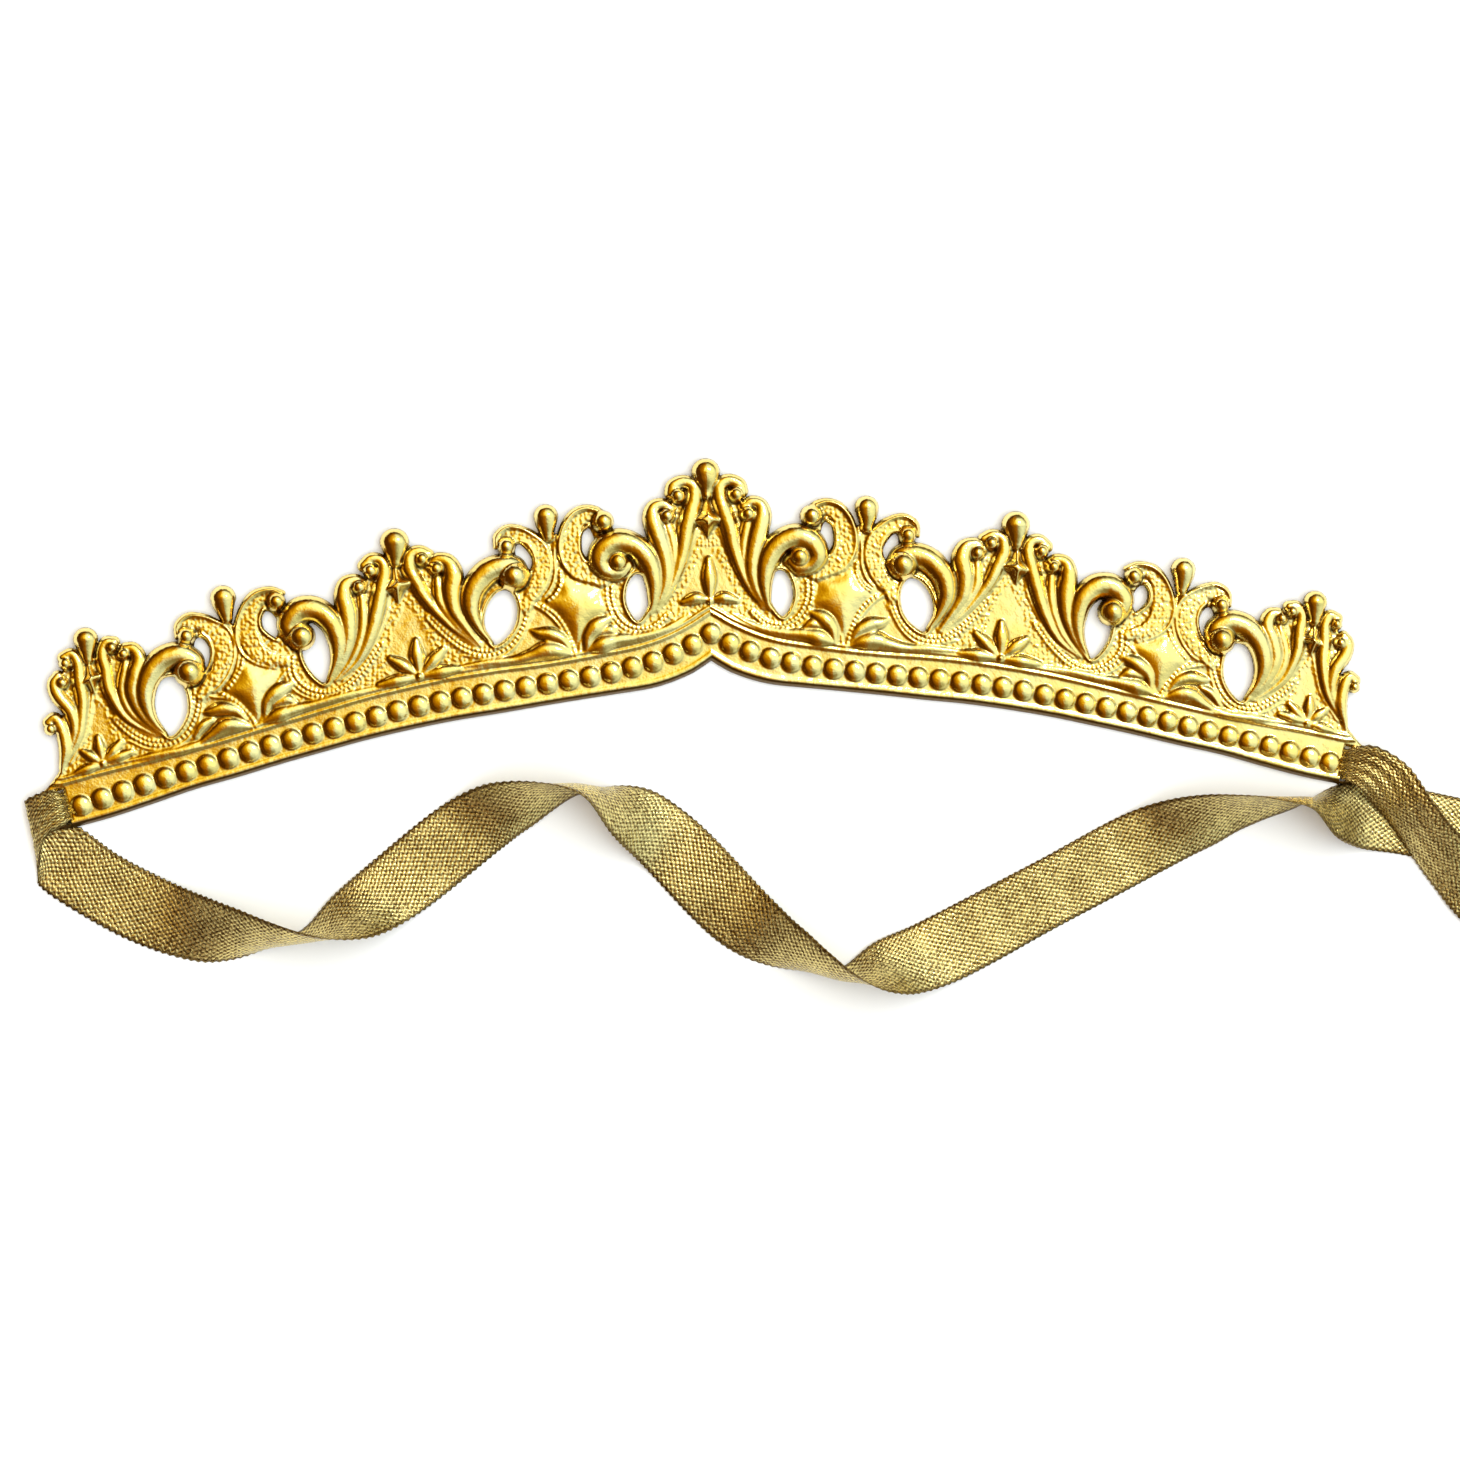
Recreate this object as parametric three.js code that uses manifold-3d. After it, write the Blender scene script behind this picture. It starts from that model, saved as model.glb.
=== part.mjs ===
// Embossed gold foil crown lying flat on its back, with a gold ribbon tie through a slot at each end.
// Millimetres, +X along the crown to its right end, +Y towards the peak, +Z up from the table. The origin
// is under the rim, at the notch below the peak.
import * as THREE from "three";
import { mergeVertices } from "three/addons/utils/BufferGeometryUtils.js";
import Module from "manifold-3d";

const sheetUnder = 1.6; // the flat field's underside above the table
const sheetTop = 2.2;
const rimWidth = 1.1; // the turned-down lower edge
const rimFoot = 0.95; // the origin is on the rim's foot at the notch
const rimReach = 131; // the rim touches the table only this far out
const beadRadius = 2.2;
const beadHeight = 1.5;
const beadsEachSide = 30;
const hornRadius = 1.75;
const scrollRadius = 0.95;
const ribbonWidth = 16;
const ribbonThick = 0.45;
const ribbonLow = 0.3; // the middle of a ribbon that lies on the table
const slotLength = 7.8;
const slotWidth = 1.5;
const slotCentre = [149.7, -28.7];
const slotLean = 0.23; // radians off the crown's own upright

const gold = { color: 0xd3a02a, roughness: 0.22, metalness: 1 };
const lame = { color: 0x9a7f3c, roughness: 0.45, metalness: 0.7 };

const wasm = await Module();
wasm.setup();

// A closed geometry as a solid, turned the right way out.
function solidOf(geometry) {
  const bare = geometry.clone();
  bare.deleteAttribute("normal");
  bare.deleteAttribute("uv");
  const merged = mergeVertices(bare, 1e-4);
  const triVerts = new Uint32Array(merged.index.array);
  const vertProperties = merged.attributes.position.array;
  const made = new wasm.Manifold(new wasm.Mesh({ numProp: 3, vertProperties, triVerts }));
  if (made.volume() > 0) return made;
  for (let i = 0; i < triVerts.length; i += 3) {
    [triVerts[i + 1], triVerts[i + 2]] = [triVerts[i + 2], triVerts[i + 1]];
  }
  return new wasm.Manifold(new wasm.Mesh({ numProp: 3, vertProperties, triVerts }));
}

function geometryOf(solid) {
  const mesh = solid.getMesh();
  const geometry = new THREE.BufferGeometry();
  geometry.setAttribute("position", new THREE.BufferAttribute(mesh.vertProperties, 3));
  geometry.setIndex(new THREE.BufferAttribute(mesh.triVerts, 1));
  geometry.computeVertexNormals();
  return geometry;
}

const vectors = (points) => points.map(([x, y]) => new THREE.Vector2(x, y));

function slab(outline, bottom, top) {
  const shape = new THREE.Shape(vectors(outline));
  const geometry = new THREE.ExtrudeGeometry(shape, { depth: top - bottom, bevelEnabled: false });
  return geometry.translate(0, 0, bottom);
}

// The upper silhouette of one half, from under the peak bulb out to the tab's lower corner.
const upperEdge = [
  [0, 44], [2.2, 42], [4, 41], [7, 39.5], [9, 37], [12, 35], [13.4, 31], [14.6, 28.5], [17, 29],
  [21, 29], [24, 30], [25, 33], [28, 34.6], [32, 33.6], [34.6, 31], [37.4, 31.5], [39.4, 29.6],
  [43, 31.2], [46, 31], [48, 28], [50, 24.8], [53.6, 21.6], [56.6, 19.6], [58.4, 21.6], [61, 24.4],
  [65, 25.6], [68.4, 26.2], [71, 25.4], [72.6, 26], [74.4, 24.6], [77, 24.8], [79.4, 21.8], [82.6, 20.2],
  [85, 17], [86.4, 14.4], [90, 15.4], [95, 15.4], [98, 14.6], [100, 17.4], [103.6, 18], [107.4, 15.4],
  [109.6, 12], [111.8, 14], [113.8, 12], [117, 13.6], [121, 12.4], [122.6, 9.4], [125, 6.6], [129, 3.6],
  [131, 3.4], [132.6, 6.4], [136, 6.6], [139.4, 7.4], [142, 5.6], [143.6, 6], [145, 4.2], [147.4, 4.6],
  [149, 3], [150.6, 0], [150.4, -3], [148.6, -6.4], [151, -8.4], [151.6, -11], [149.8, -13.6],
  [149.6, -17.6], [150.8, -20.4], [152.8, -23.2], [155.4, -26.2], [155.2, -30], [153.2, -33.4],
  [151.6, -34.2], [149, -33.4],
];
// The lower edge of one half, from the tab's corner back to the notch under the peak.
const lowerEdge = [
  [149, -33.5], [140, -31.4], [130, -28.5], [120, -25.4], [110, -22.9], [100, -20.2], [90, -17.7],
  [80, -15.3], [70, -13.3], [60, -11.6], [50, -10.3], [40, -8.9], [30, -7.6], [22, -6.6], [15, -5.7],
  [10, -4.5], [5, -2.6], [2, -0.9],
];
const notch = [0, 0.4];

const flip = ([x, ...rest]) => [-x, ...rest];
const outline = [
  ...upperEdge,
  ...lowerEdge,
  notch,
  ...lowerEdge.toReversed().map(flip),
  ...upperEdge.toReversed().slice(0, -1).map(flip),
];

// A teardrop opening: an ellipse drawn in to a point at its foot, leaning by an angle.
function teardrop([x, y, width, height, lean]) {
  const points = [];
  for (let i = 0; i < 16; i++) {
    const turn = (i / 16) * 2 * Math.PI;
    const up = (-Math.cos(turn) * height) / 2;
    const narrow = 1 - 0.35 * Math.max(0, Math.cos(turn)) ** 2;
    const side = (Math.sin(turn) * narrow * width) / 2;
    points.push([
      x + side * Math.cos(lean) - up * Math.sin(lean),
      y + side * Math.sin(lean) + up * Math.cos(lean),
    ]);
  }
  return points;
}

const openings = [
  [16.8, 15.6, 5.4, 10.7, 0.03], [48.7, 11.9, 7.4, 12.8, 0.24], [91, 5, 6.8, 14, -0.2],
  [125, -6.2, 7.8, 13.6, 0.02], [28.2, 28.4, 2.6, 7.4, -0.25], [42.3, 26, 2.4, 6.4, -0.5],
  [102, 12.2, 2.6, 5.6, -0.45], [117.6, 7.6, 2.6, 6, -0.5],
];

function slotAt(side) {
  const [x, y] = slotCentre;
  const along = [Math.sin(slotLean), Math.cos(slotLean)];
  const across = [Math.cos(slotLean), -Math.sin(slotLean)];
  return [[1, 1], [-1, 1], [-1, -1], [1, -1]].map(([a, b]) => [
    side * (x + (a * across[0] * slotWidth + b * along[0] * slotLength) / 2),
    y + (a * across[1] * slotWidth + b * along[1] * slotLength) / 2,
  ]);
}

function rim() {
  const inner = lowerEdge.filter(([x]) => x < rimReach);
  const outer = [[rimReach, -28.8], ...inner];
  const run = [...outer, notch, ...outer.toReversed().map(flip)];
  const back = run.toReversed().map(([x, y]) => [x, y + rimWidth]);
  return slab([...run, ...back], 0, sheetUnder + 0.2);
}

// A raised tube with its points in plan and its middle at one height.
function ridge(points, side, radius, height, steps) {
  const path = new THREE.CatmullRomCurve3(
    points.map(([x, y]) => new THREE.Vector3(side * x, y, height)),
  );
  const ring = new THREE.Shape().absarc(0, 0, radius, 0, 2 * Math.PI);
  return new THREE.ExtrudeGeometry(ring, { steps, curveSegments: 3, extrudePath: path });
}

// A dome on a flat base, turned about an upright axis.
function dome(x, y, radius, bottom, top, sides) {
  const shoulder = bottom + (top - bottom) * 0.6;
  const profile = vectors([[0, bottom], [radius, bottom], [radius * 0.8, shoulder], [0, top]]);
  return new THREE.LatheGeometry(profile, sides).rotateX(Math.PI / 2).translate(x, y, 0);
}

const beadLine = new THREE.CatmullRomCurve3(
  [
    [0, 6.8], [1.8, 5.7], [4.2, 4.4], [8.4, 2.6], [17.3, -0.2], [26.8, -2.1], [55.5, -5.9],
    [85.3, -11.7], [115.5, -19.4], [146, -28.2],
  ].map(([x, y]) => new THREE.Vector3(x, y, 0)),
);

// Round bulbs between the crests, each on a short neck.
const neckWidth = 2.4;
const neckLength = 4.5;
const bulbs = [[37.5, 34.9, 2.5], [72.6, 29.8, 3], [112.2, 18.2, 2.6], [143.7, 9.6, 2.5]];

const horns = [
  [
    [13.2, 15], [12.9, 19], [13.9, 23.5], [16.6, 27],
    [20.6, 28.6], [24.2, 27.2], [25.4, 24.2], [23.8, 21.9], [21, 21.5],
  ],
  [[53.9, 9.8], [55.6, 14], [55, 18.4], [52.2, 22], [48.8, 23.6], [45.4, 23.6]],
  [[87, 2.6], [86.4, 7.4], [87.8, 12], [91.2, 14.9], [95, 14.8], [97.4, 12]],
  [[129.2, -9], [130.7, -4.6], [130, 0], [127.2, 4], [123.2, 5.6], [119.8, 4.4]],
];
const hornBalls = [[21.2, 24, 2], [45.2, 21.4, 2.8], [94.7, 8.9, 2.6], [120.6, 1.6, 2.7]];

// Stems with a curled head: each rises from a horn's foot and ends in a small ball.
const stems = [
  [
    [9.6, 16.6], [7.2, 22], [5.8, 27], [5, 31.4], [3.8, 35.4],
    [2.9, 38.8], [3.3, 41.2], [5.4, 42.1], [7.6, 41.2], [8.2, 39.6],
  ],
  [[11.2, 16], [10, 20.6], [10.6, 26], [12, 30.6], [12.9, 34], [12.4, 36.3], [10.4, 37], [8.7, 36]],
  [[56.6, 9.4], [59.4, 13.8], [60, 18.4], [59.4, 22], [60.4, 24.9], [62.8, 25.7], [64.3, 24.5]],
  [[60.6, 10.6], [65.6, 16.4], [67.9, 20.6], [69.5, 24], [69.1, 26.8], [67, 27.7], [64.9, 26.9]],
  [[81.8, 3], [78.8, 9], [77.1, 15], [75.9, 20], [75.2, 23.6], [76, 25.8], [78.1, 26.2], [79.8, 24.7]],
  [[85.6, 3], [84, 8.4], [84, 13.6], [84.7, 17.6], [84.2, 20.5], [82.1, 21.5], [80.4, 20.9]],
  [[131, -8.6], [133.4, -3.4], [132.9, 1], [131.8, 4.6], [132.9, 7.1], [134.8, 7.4]],
  [[135, -8.6], [138.6, -2.4], [139.5, 3], [140.2, 6.4], [139.2, 8.8], [137.3, 8.9]],
  [[145.9, -12], [144.9, -5], [145.5, 0.4], [145.7, 4.2], [147, 6.4], [148.9, 5.7]],
  [[147, -12], [147.5, -7], [150.2, -3.2], [151.2, -0.4], [150.2, 1.5]],
  [[149.1, -15], [149.7, -10.8], [151.2, -8.2], [152.7, -9]],
];

// The shields' outward arms, each with a raised outline.
const arms = [
  [[40, 16.2], [37.2, 21], [35.4, 26], [33.4, 30.4], [30.2, 33.9], [26.8, 34.6], [25.2, 33]],
  [[30, 20.4], [34.6, 20.6], [37.4, 23.2], [38.9, 27], [41.2, 30.2], [44.6, 31.2], [47.4, 30]],
  [[113.2, 0], [110.6, 4.6], [109, 9.4], [106.6, 14], [103.2, 17.2], [100.2, 17.6]],
  [[107.6, 3.9], [111, 5.8], [112, 9.4], [114.6, 12.8], [118, 13.7], [121, 12.2]],
];

function crownSolid() {
  const parts = [rim()];
  const cuts = [];
  for (const side of [1, -1]) {
    openings.forEach((opening) => cuts.push(teardrop(opening).map(([x, y]) => [side * x, y])));
    cuts.push(slotAt(side));
    horns.forEach((points) => parts.push(ridge(points, side, hornRadius, sheetTop + 0.6, 10)));
    stems.forEach((points) => parts.push(ridge(points, side, scrollRadius, sheetTop + 0.4, 6)));
    arms.forEach((points) => parts.push(ridge(points, side, scrollRadius, sheetTop + 0.3, 6)));
    hornBalls.forEach(([x, y, r]) => parts.push(dome(side * x, y, r, sheetUnder, sheetTop + 2.8, 10)));
    for (const [x, y, r] of bulbs) {
      const [low, high] = [y - neckLength, y];
      const corners = [[-0.5, low], [0.5, low], [0.5, high], [-0.5, high]];
      const neck = corners.map(([across, up]) => [side * x + across * neckWidth, up]);
      parts.push(slab(neck, sheetUnder, sheetTop + 0.8));
      parts.push(dome(side * x, y, r, 0, sheetTop + 2, 10));
    }
  }
  parts.push(dome(0, 44.1, 2.95, 0, sheetTop + 2.6, 12));
  for (let i = 0; i <= beadsEachSide; i++) {
    const { x, y } = beadLine.getPointAt(i / beadsEachSide);
    for (const side of i ? [1, -1] : [1]) {
      parts.push(dome(side * x, y, beadRadius, sheetUnder + 0.3, sheetTop + beadHeight, 8));
    }
  }
  const sheet = solidOf(slab(outline, sheetUnder, sheetTop));
  const whole = parts.reduce((sum, part) => sum.add(solidOf(part)), sheet);
  return cuts.reduce((rest, cut) => rest.subtract(solidOf(slab(cut, -1, sheetTop + 4))), whole);
}

// A ribbon as a strip ruled between its two edges. Each station is a middle point and the vector from it
// to one edge.
function strip(stations, stepsBetween) {
  const edge = (sign) =>
    new THREE.CatmullRomCurve3(
      stations.map(({ middle, half }) => middle.clone().addScaledVector(half, sign)),
      false,
      "centripetal",
    );
  const [first, second] = [edge(1), edge(-1)];
  const count = (stations.length - 1) * stepsBetween;
  const left = [];
  const right = [];
  for (let i = 0; i <= count; i++) {
    left.push(first.getPoint(i / count));
    right.push(second.getPoint(i / count));
    left[i].z = Math.max(left[i].z, ribbonLow);
    right[i].z = Math.max(right[i].z, ribbonLow);
  }
  const position = [];
  for (let i = 0; i <= count; i++) {
    const before = Math.max(i - 1, 0);
    const after = Math.min(i + 1, count);
    const along = left[after].clone().add(right[after]).sub(left[before]).sub(right[before]);
    const across = left[i].clone().sub(right[i]);
    const lift = along.cross(across).setLength(ribbonThick / 2);
    for (const [point, sign] of [[left[i], 1], [right[i], 1], [right[i], -1], [left[i], -1]]) {
      position.push(...point.clone().addScaledVector(lift, sign).toArray());
    }
  }
  const index = [0, 1, 2, 0, 2, 3];
  for (let i = 0; i < count; i++) {
    for (let k = 0; k < 4; k++) {
      const a = 4 * i + k;
      const b = 4 * i + ((k + 1) % 4);
      index.push(a, a + 4, b, b, a + 4, b + 4);
    }
  }
  const last = 4 * count;
  index.push(last, last + 2, last + 1, last, last + 3, last + 2);
  const geometry = new THREE.BufferGeometry();
  geometry.setAttribute("position", new THREE.Float32BufferAttribute(position, 3));
  geometry.setIndex(index);
  return geometryOf(solidOf(geometry));
}

const station = (middle, half) => ({
  middle: new THREE.Vector3(...middle),
  half: new THREE.Vector3(...half),
});

// Stations of a ribbon that lies on the table and turns over at each bend. Each row is x, y and the
// ribbon's roll about its own line in degrees: 0 and 180 lie flat, 90 and 270 stand on an edge.
function laidStations(rows) {
  return rows.map(([x, y, roll], i) => {
    const [ax, ay] = rows[Math.max(i - 1, 0)];
    const [bx, by] = rows[Math.min(i + 1, rows.length - 1)];
    const heading = Math.atan2(by - ay, bx - ax);
    const turn = THREE.MathUtils.degToRad(roll);
    const flat = (Math.cos(turn) * ribbonWidth) / 2;
    const rise = (Math.sin(turn) * ribbonWidth) / 2;
    return station(
      [x, y, Math.abs(rise) + ribbonLow],
      [-Math.sin(heading) * flat, Math.cos(heading) * flat, rise],
    );
  });
}

// The bare end under the tab, the rise through the slot and the turn over the tab, on one side.
function slotStations(side) {
  return [
    station([side * 143, -27, 1], [side * 0.8, 3.6, 0]),
    station([side * 147.6, -28.2, 1], [side * 0.8, 3.6, 0]),
    station([side * 149.5, -28.7, 1.4], [side * 0.8, 3.6, 0]),
    station([side * 149.9, -28.7, 2.6], [side * 0.8, 3.6, 0]),
    station([side * 151.2, -28.8, 3.2], [side * 0.8, 4.2, 0]),
  ];
}

const leftTie = strip(
  [
    ...slotStations(-1),
    station([-153.6, -29.8, 3.2], [0.6, 5.4, 0]),
    station([-156, -32.2, 2.8], [-0.6, 6.6, 0]),
    station([-157.2, -34, 1.8], [-1.4, 7.2, 0]),
    station([-156.8, -35.4, 0.8], [-0.4, 7.4, 0]),
    station([-154.8, -37.2, 0.4], [1.6, 7.4, 0]),
    ...laidStations([
      [-151.4, -39.6, 0], [-142.3, -46.6, 0], [-128.7, -54.1, 5], [-115, -58.7, 32], [-96.6, -59.9, 90],
      [-86.1, -55.9, 135], [-75.6, -50, 174], [-55.6, -35.7, 184], [-45.1, -30.9, 224], [-32.3, -28.3, 268],
      [-21, -33.8, 325], [-12, -40.9, 356], [5.9, -60.2, 374], [16.3, -68, 412], [27.8, -73.4, 448],
      [37.3, -72.5, 495], [49.2, -70, 532], [78.1, -56.6, 540], [102.4, -45, 544], [114.5, -40.7, 575],
      [126.6, -37.8, 605], [138, -37.3, 630], [146.7, -39.4, 680], [154.1, -40.9, 714], [163.6, -42.6, 720],
      [172, -44.6, 720], [180.3, -46.6, 720],
    ]),
  ],
  3,
);

// The right tie's spare length turns to and fro beside the crown, on its edge at each turn.
const spareStart = [217, -90];
const spareSwing = 27.3;
const spareStep = 21; // from one turn to the next
const spareWaves = [];
for (let turn = -0.5; turn <= 4.5; turn += 0.25) {
  const across = spareStart[0] + spareSwing * Math.cos(Math.PI * turn);
  spareWaves.push([across, spareStart[1] - spareStep * turn, 90 + 180 * turn]);
}

const rightTie = strip(
  [
    ...slotStations(1),
    station([154.4, -29.6, 4.4], [1.8, 5, 0.4]),
    station([158.6, -33, 5.4], [4.4, 3.6, 2.4]),
    station([163, -39.6, 6], [4.4, 2.2, 4.8]),
    station([168.2, -46.9, 5.8], [4, 3.2, 4.8]),
    station([174.5, -54, 4.4], [4.4, 4.2, 3.6]),
    station([182.6, -61.9, 2], [5.4, 5, 1.2]),
    ...laidStations([[194, -70.5, 0], ...spareWaves]),
  ],
  3,
);

const crown = new THREE.Group();
function place(name, geometry, look) {
  const mesh = new THREE.Mesh(geometry, new THREE.MeshStandardMaterial(look));
  mesh.name = name;
  mesh.position.y = -rimFoot;
  crown.add(mesh);
}
place("crown_sheet", geometryOf(crownSolid()), gold);
place("left_tie", leftTie, lame);
place("right_tie", rightTie, lame);

export default crown;
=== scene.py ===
import bpy
import numpy as np
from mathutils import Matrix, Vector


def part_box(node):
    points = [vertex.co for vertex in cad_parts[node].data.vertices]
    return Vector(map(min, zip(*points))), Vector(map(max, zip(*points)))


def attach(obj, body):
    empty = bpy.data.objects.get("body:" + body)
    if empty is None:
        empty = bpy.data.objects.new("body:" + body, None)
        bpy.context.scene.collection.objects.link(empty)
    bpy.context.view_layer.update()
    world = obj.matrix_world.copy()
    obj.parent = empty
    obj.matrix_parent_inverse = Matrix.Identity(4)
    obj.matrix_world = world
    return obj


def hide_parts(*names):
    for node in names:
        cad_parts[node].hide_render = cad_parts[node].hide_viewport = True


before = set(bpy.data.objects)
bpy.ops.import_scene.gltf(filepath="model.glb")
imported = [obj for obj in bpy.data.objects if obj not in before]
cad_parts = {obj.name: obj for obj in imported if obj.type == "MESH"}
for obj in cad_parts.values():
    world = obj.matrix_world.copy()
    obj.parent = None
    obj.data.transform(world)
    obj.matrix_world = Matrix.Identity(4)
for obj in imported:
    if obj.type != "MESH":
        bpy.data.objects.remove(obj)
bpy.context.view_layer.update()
mm = 0.001
_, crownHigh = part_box("crown_sheet")
foot = 0.04705 - crownHigh.y  # from the frame's zero, under the notch, up to the pattern's own

camera = {
    "place": (-0.0972, -0.0098, 0.9396),
    "turn": (-0.226, -6.154, -1.859),  # degrees
    "lens": 100,
}


def makeCamera(v):
    data = bpy.data.cameras.new("camera")
    data.lens = v["lens"]
    data.sensor_width = 36
    data.clip_start = 0.01
    obj = bpy.data.objects.new("camera", data)
    obj.location = v["place"]
    obj.rotation_euler = np.radians(v["turn"])
    bpy.context.scene.collection.objects.link(obj)
    bpy.context.scene.camera = obj


makeCamera(camera)
print("camera placed")


def spline(points, step):
    # Catmull-Rom through the points, any number of columns, at about even steps
    p = np.asarray(points, float)
    p = np.vstack([2 * p[0] - p[1], p, 2 * p[-1] - p[-2]])
    longest = np.linalg.norm(np.diff(p[:, :2], axis=0), axis=1).max()
    count = max(2, int(np.ceil(longest / step)))
    t = (np.arange(count) / count)[None, :, None]
    a, b, c, d = p[:-3, None], p[1:-2, None], p[2:-1, None], p[3:, None]
    q = 0.5 * (2 * b + (c - a) * t + (2 * a - 5 * b + 4 * c - d) * t**2 + (3 * b - a - 3 * c + d) * t**3)
    return np.vstack([q.reshape(-1, p.shape[1]), p[-2]])


def centripetal(points, perSpan):
    # Catmull-Rom with knots spaced by the square root of each span's length, open at both ends
    p = np.asarray(points, float)
    p = np.vstack([2 * p[0] - p[1], p, 2 * p[-1] - p[-2]])
    gap = np.linalg.norm(np.diff(p, axis=0), axis=1) ** 0.5
    g0, g1, g2 = gap[:-2, None], gap[1:-1, None], gap[2:, None]
    a, b, c, d = p[:-3], p[1:-2], p[2:-1], p[3:]
    start = ((b - a) / g0 - (c - a) / (g0 + g1) + (c - b) / g1) * g1
    end = ((c - b) / g1 - (d - b) / (g1 + g2) + (d - c) / g2) * g1
    t = (np.arange(perSpan) / perSpan)[None, :, None]
    b, c, start, end = b[:, None], c[:, None], start[:, None], end[:, None]
    q = b + start * t + (3 * (c - b) - 2 * start - end) * t**2 + (2 * (b - c) + start + end) * t**3
    return np.vstack([q.reshape(-1, p.shape[1]), p[-2]])


def addMesh(name, points, quads, triangles=()):
    mesh = bpy.data.meshes.new(name)
    quads = np.asarray(quads, np.int32).reshape(-1, 4)
    triangles = np.asarray(triangles, np.int32).reshape(-1, 3)
    sizes = np.concatenate([np.full(len(quads), 4), np.full(len(triangles), 3)]).astype(np.int32)
    mesh.vertices.add(len(points))
    mesh.vertices.foreach_set("co", np.asarray(points, np.float32).ravel())
    mesh.loops.add(int(sizes.sum()))
    mesh.loops.foreach_set("vertex_index", np.concatenate([quads.ravel(), triangles.ravel()]))
    mesh.polygons.add(len(sizes))
    starts = np.concatenate([[0], np.cumsum(sizes)[:-1]]).astype(np.int32)
    mesh.polygons.foreach_set("loop_start", starts)
    mesh.polygons.foreach_set("use_smooth", np.ones(len(sizes), bool))
    mesh.update(calc_edges=True)
    mesh.validate()
    obj = bpy.data.objects.new(name, mesh)
    bpy.context.scene.collection.objects.link(obj)
    return obj


tie = {
    "width": 16.0,
    "thick": 0.4,
    "low": 0.3,        # height of the middle of a tie that lies on the table
    "length": 0.406,
    "across": 28,      # faces across the width
    "perSpan": 14,     # steps between two stations
    "picot": 0.22,     # how far the selvedge's loops stand out
    "picotStep": 1.5,
    "pucker": 0.16,    # depth of the crossways ripples
    "gather": 0.9,     # depth of the pleats where a tie is drawn through its slot
    "pleats": 14,      # how close together they are
    "bow": 2.6,        # how far it cups where it stands on its edge
    "along": 0.75,     # spacing of the surface's points along a tie
    "thinEdge": 0.45,  # how much thinner a selvedge is than the middle
    "clear": 0.03,     # the least height above the table
}


def laidStations(rows):
    # a middle point and the vector to one edge for rows of x, y and roll in degrees
    rows = np.asarray(rows, float)
    before = np.vstack([rows[:1], rows[:-1]])
    after = np.vstack([rows[1:], rows[-1:]])
    heading = np.arctan2(after[:, 1] - before[:, 1], after[:, 0] - before[:, 0])
    turn = np.radians(rows[:, 2])
    flat = np.cos(turn) * tie["width"] / 2
    rise = np.sin(turn) * tie["width"] / 2
    middle = np.stack([rows[:, 0], rows[:, 1], np.abs(rise) + tie["low"]], 1)
    return np.hstack([middle, np.stack([-np.sin(heading) * flat, np.cos(heading) * flat, rise], 1)])


def slotStations(side):
    # the bare end under the tab, the rise through the slot and the turn over the tab
    rows = [
        (143, -27, 1, 0.8, 3.6, 0), (147.6, -28.2, 1, 0.8, 3.6, 0), (149.5, -28.7, 1.4, 0.8, 3.6, 0),
        (149.9, -28.7, 2.6, 0.8, 3.6, 0), (151.2, -28.8, 3.2, 0.8, 4.2, 0),
    ]
    return np.array(rows, float) * [side, 1, 1, side, 1, 1]


leftStations = np.vstack([
    slotStations(-1),
    [(-153.6, -29.8, 3.2, 0.6, 5.4, 0), (-156, -32.2, 2.8, -0.6, 6.6, 0), (-157.2, -34, 1.8, -1.4, 7.2, 0),
     (-156.8, -35.4, 0.8, -0.4, 7.4, 0), (-154.8, -37.2, 0.4, 1.6, 7.4, 0)],
    laidStations([
        (-151.4, -39.6, 0), (-142.3, -46.6, 0), (-128.7, -54.1, 5), (-115, -58.7, 32), (-96.6, -59.9, 90),
        (-86.1, -55.9, 135), (-75.6, -50, 174), (-55.6, -35.7, 184), (-45.1, -30.9, 224), (-32.3, -28.3, 268),
        (-21, -33.8, 325), (-12, -40.9, 356), (5.9, -60.2, 374), (16.3, -68, 412), (27.8, -73.4, 448),
        (37.3, -72.5, 495), (49.2, -70, 532), (78.1, -56.6, 540), (102.4, -45, 544), (114.5, -40.7, 575),
        (126.6, -37.8, 605), (138, -37.3, 630), (146.7, -39.4, 680), (154.1, -40.9, 714), (163.6, -42.6, 720),
        (172, -44.6, 720), (180.3, -46.6, 720),
    ]),
])
# the right tie's spare length: x = middle + reach * cos(pi * wave), y falls by a step and it rolls half round
waves = np.arange(-0.5, 4.51, 0.25)
spare = np.stack([217 + 27.3 * np.cos(np.pi * waves), -90 - 21 * waves, 90 + 180 * waves], 1)
rightStations = np.vstack([
    slotStations(1),
    [(154.4, -29.6, 4.4, 1.8, 5, 0.4), (158.6, -33, 5.4, 4.4, 3.6, 2.4), (163, -39.6, 6, 4.4, 2.2, 4.8),
     (168.2, -46.9, 5.8, 4, 3.2, 4.8), (174.5, -54, 4.4, 4.4, 4.2, 3.6), (182.6, -61.9, 2, 5.4, 5, 1.2)],
    laidStations(np.vstack([[194, -70.5, 0], spare])),
])


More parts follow.
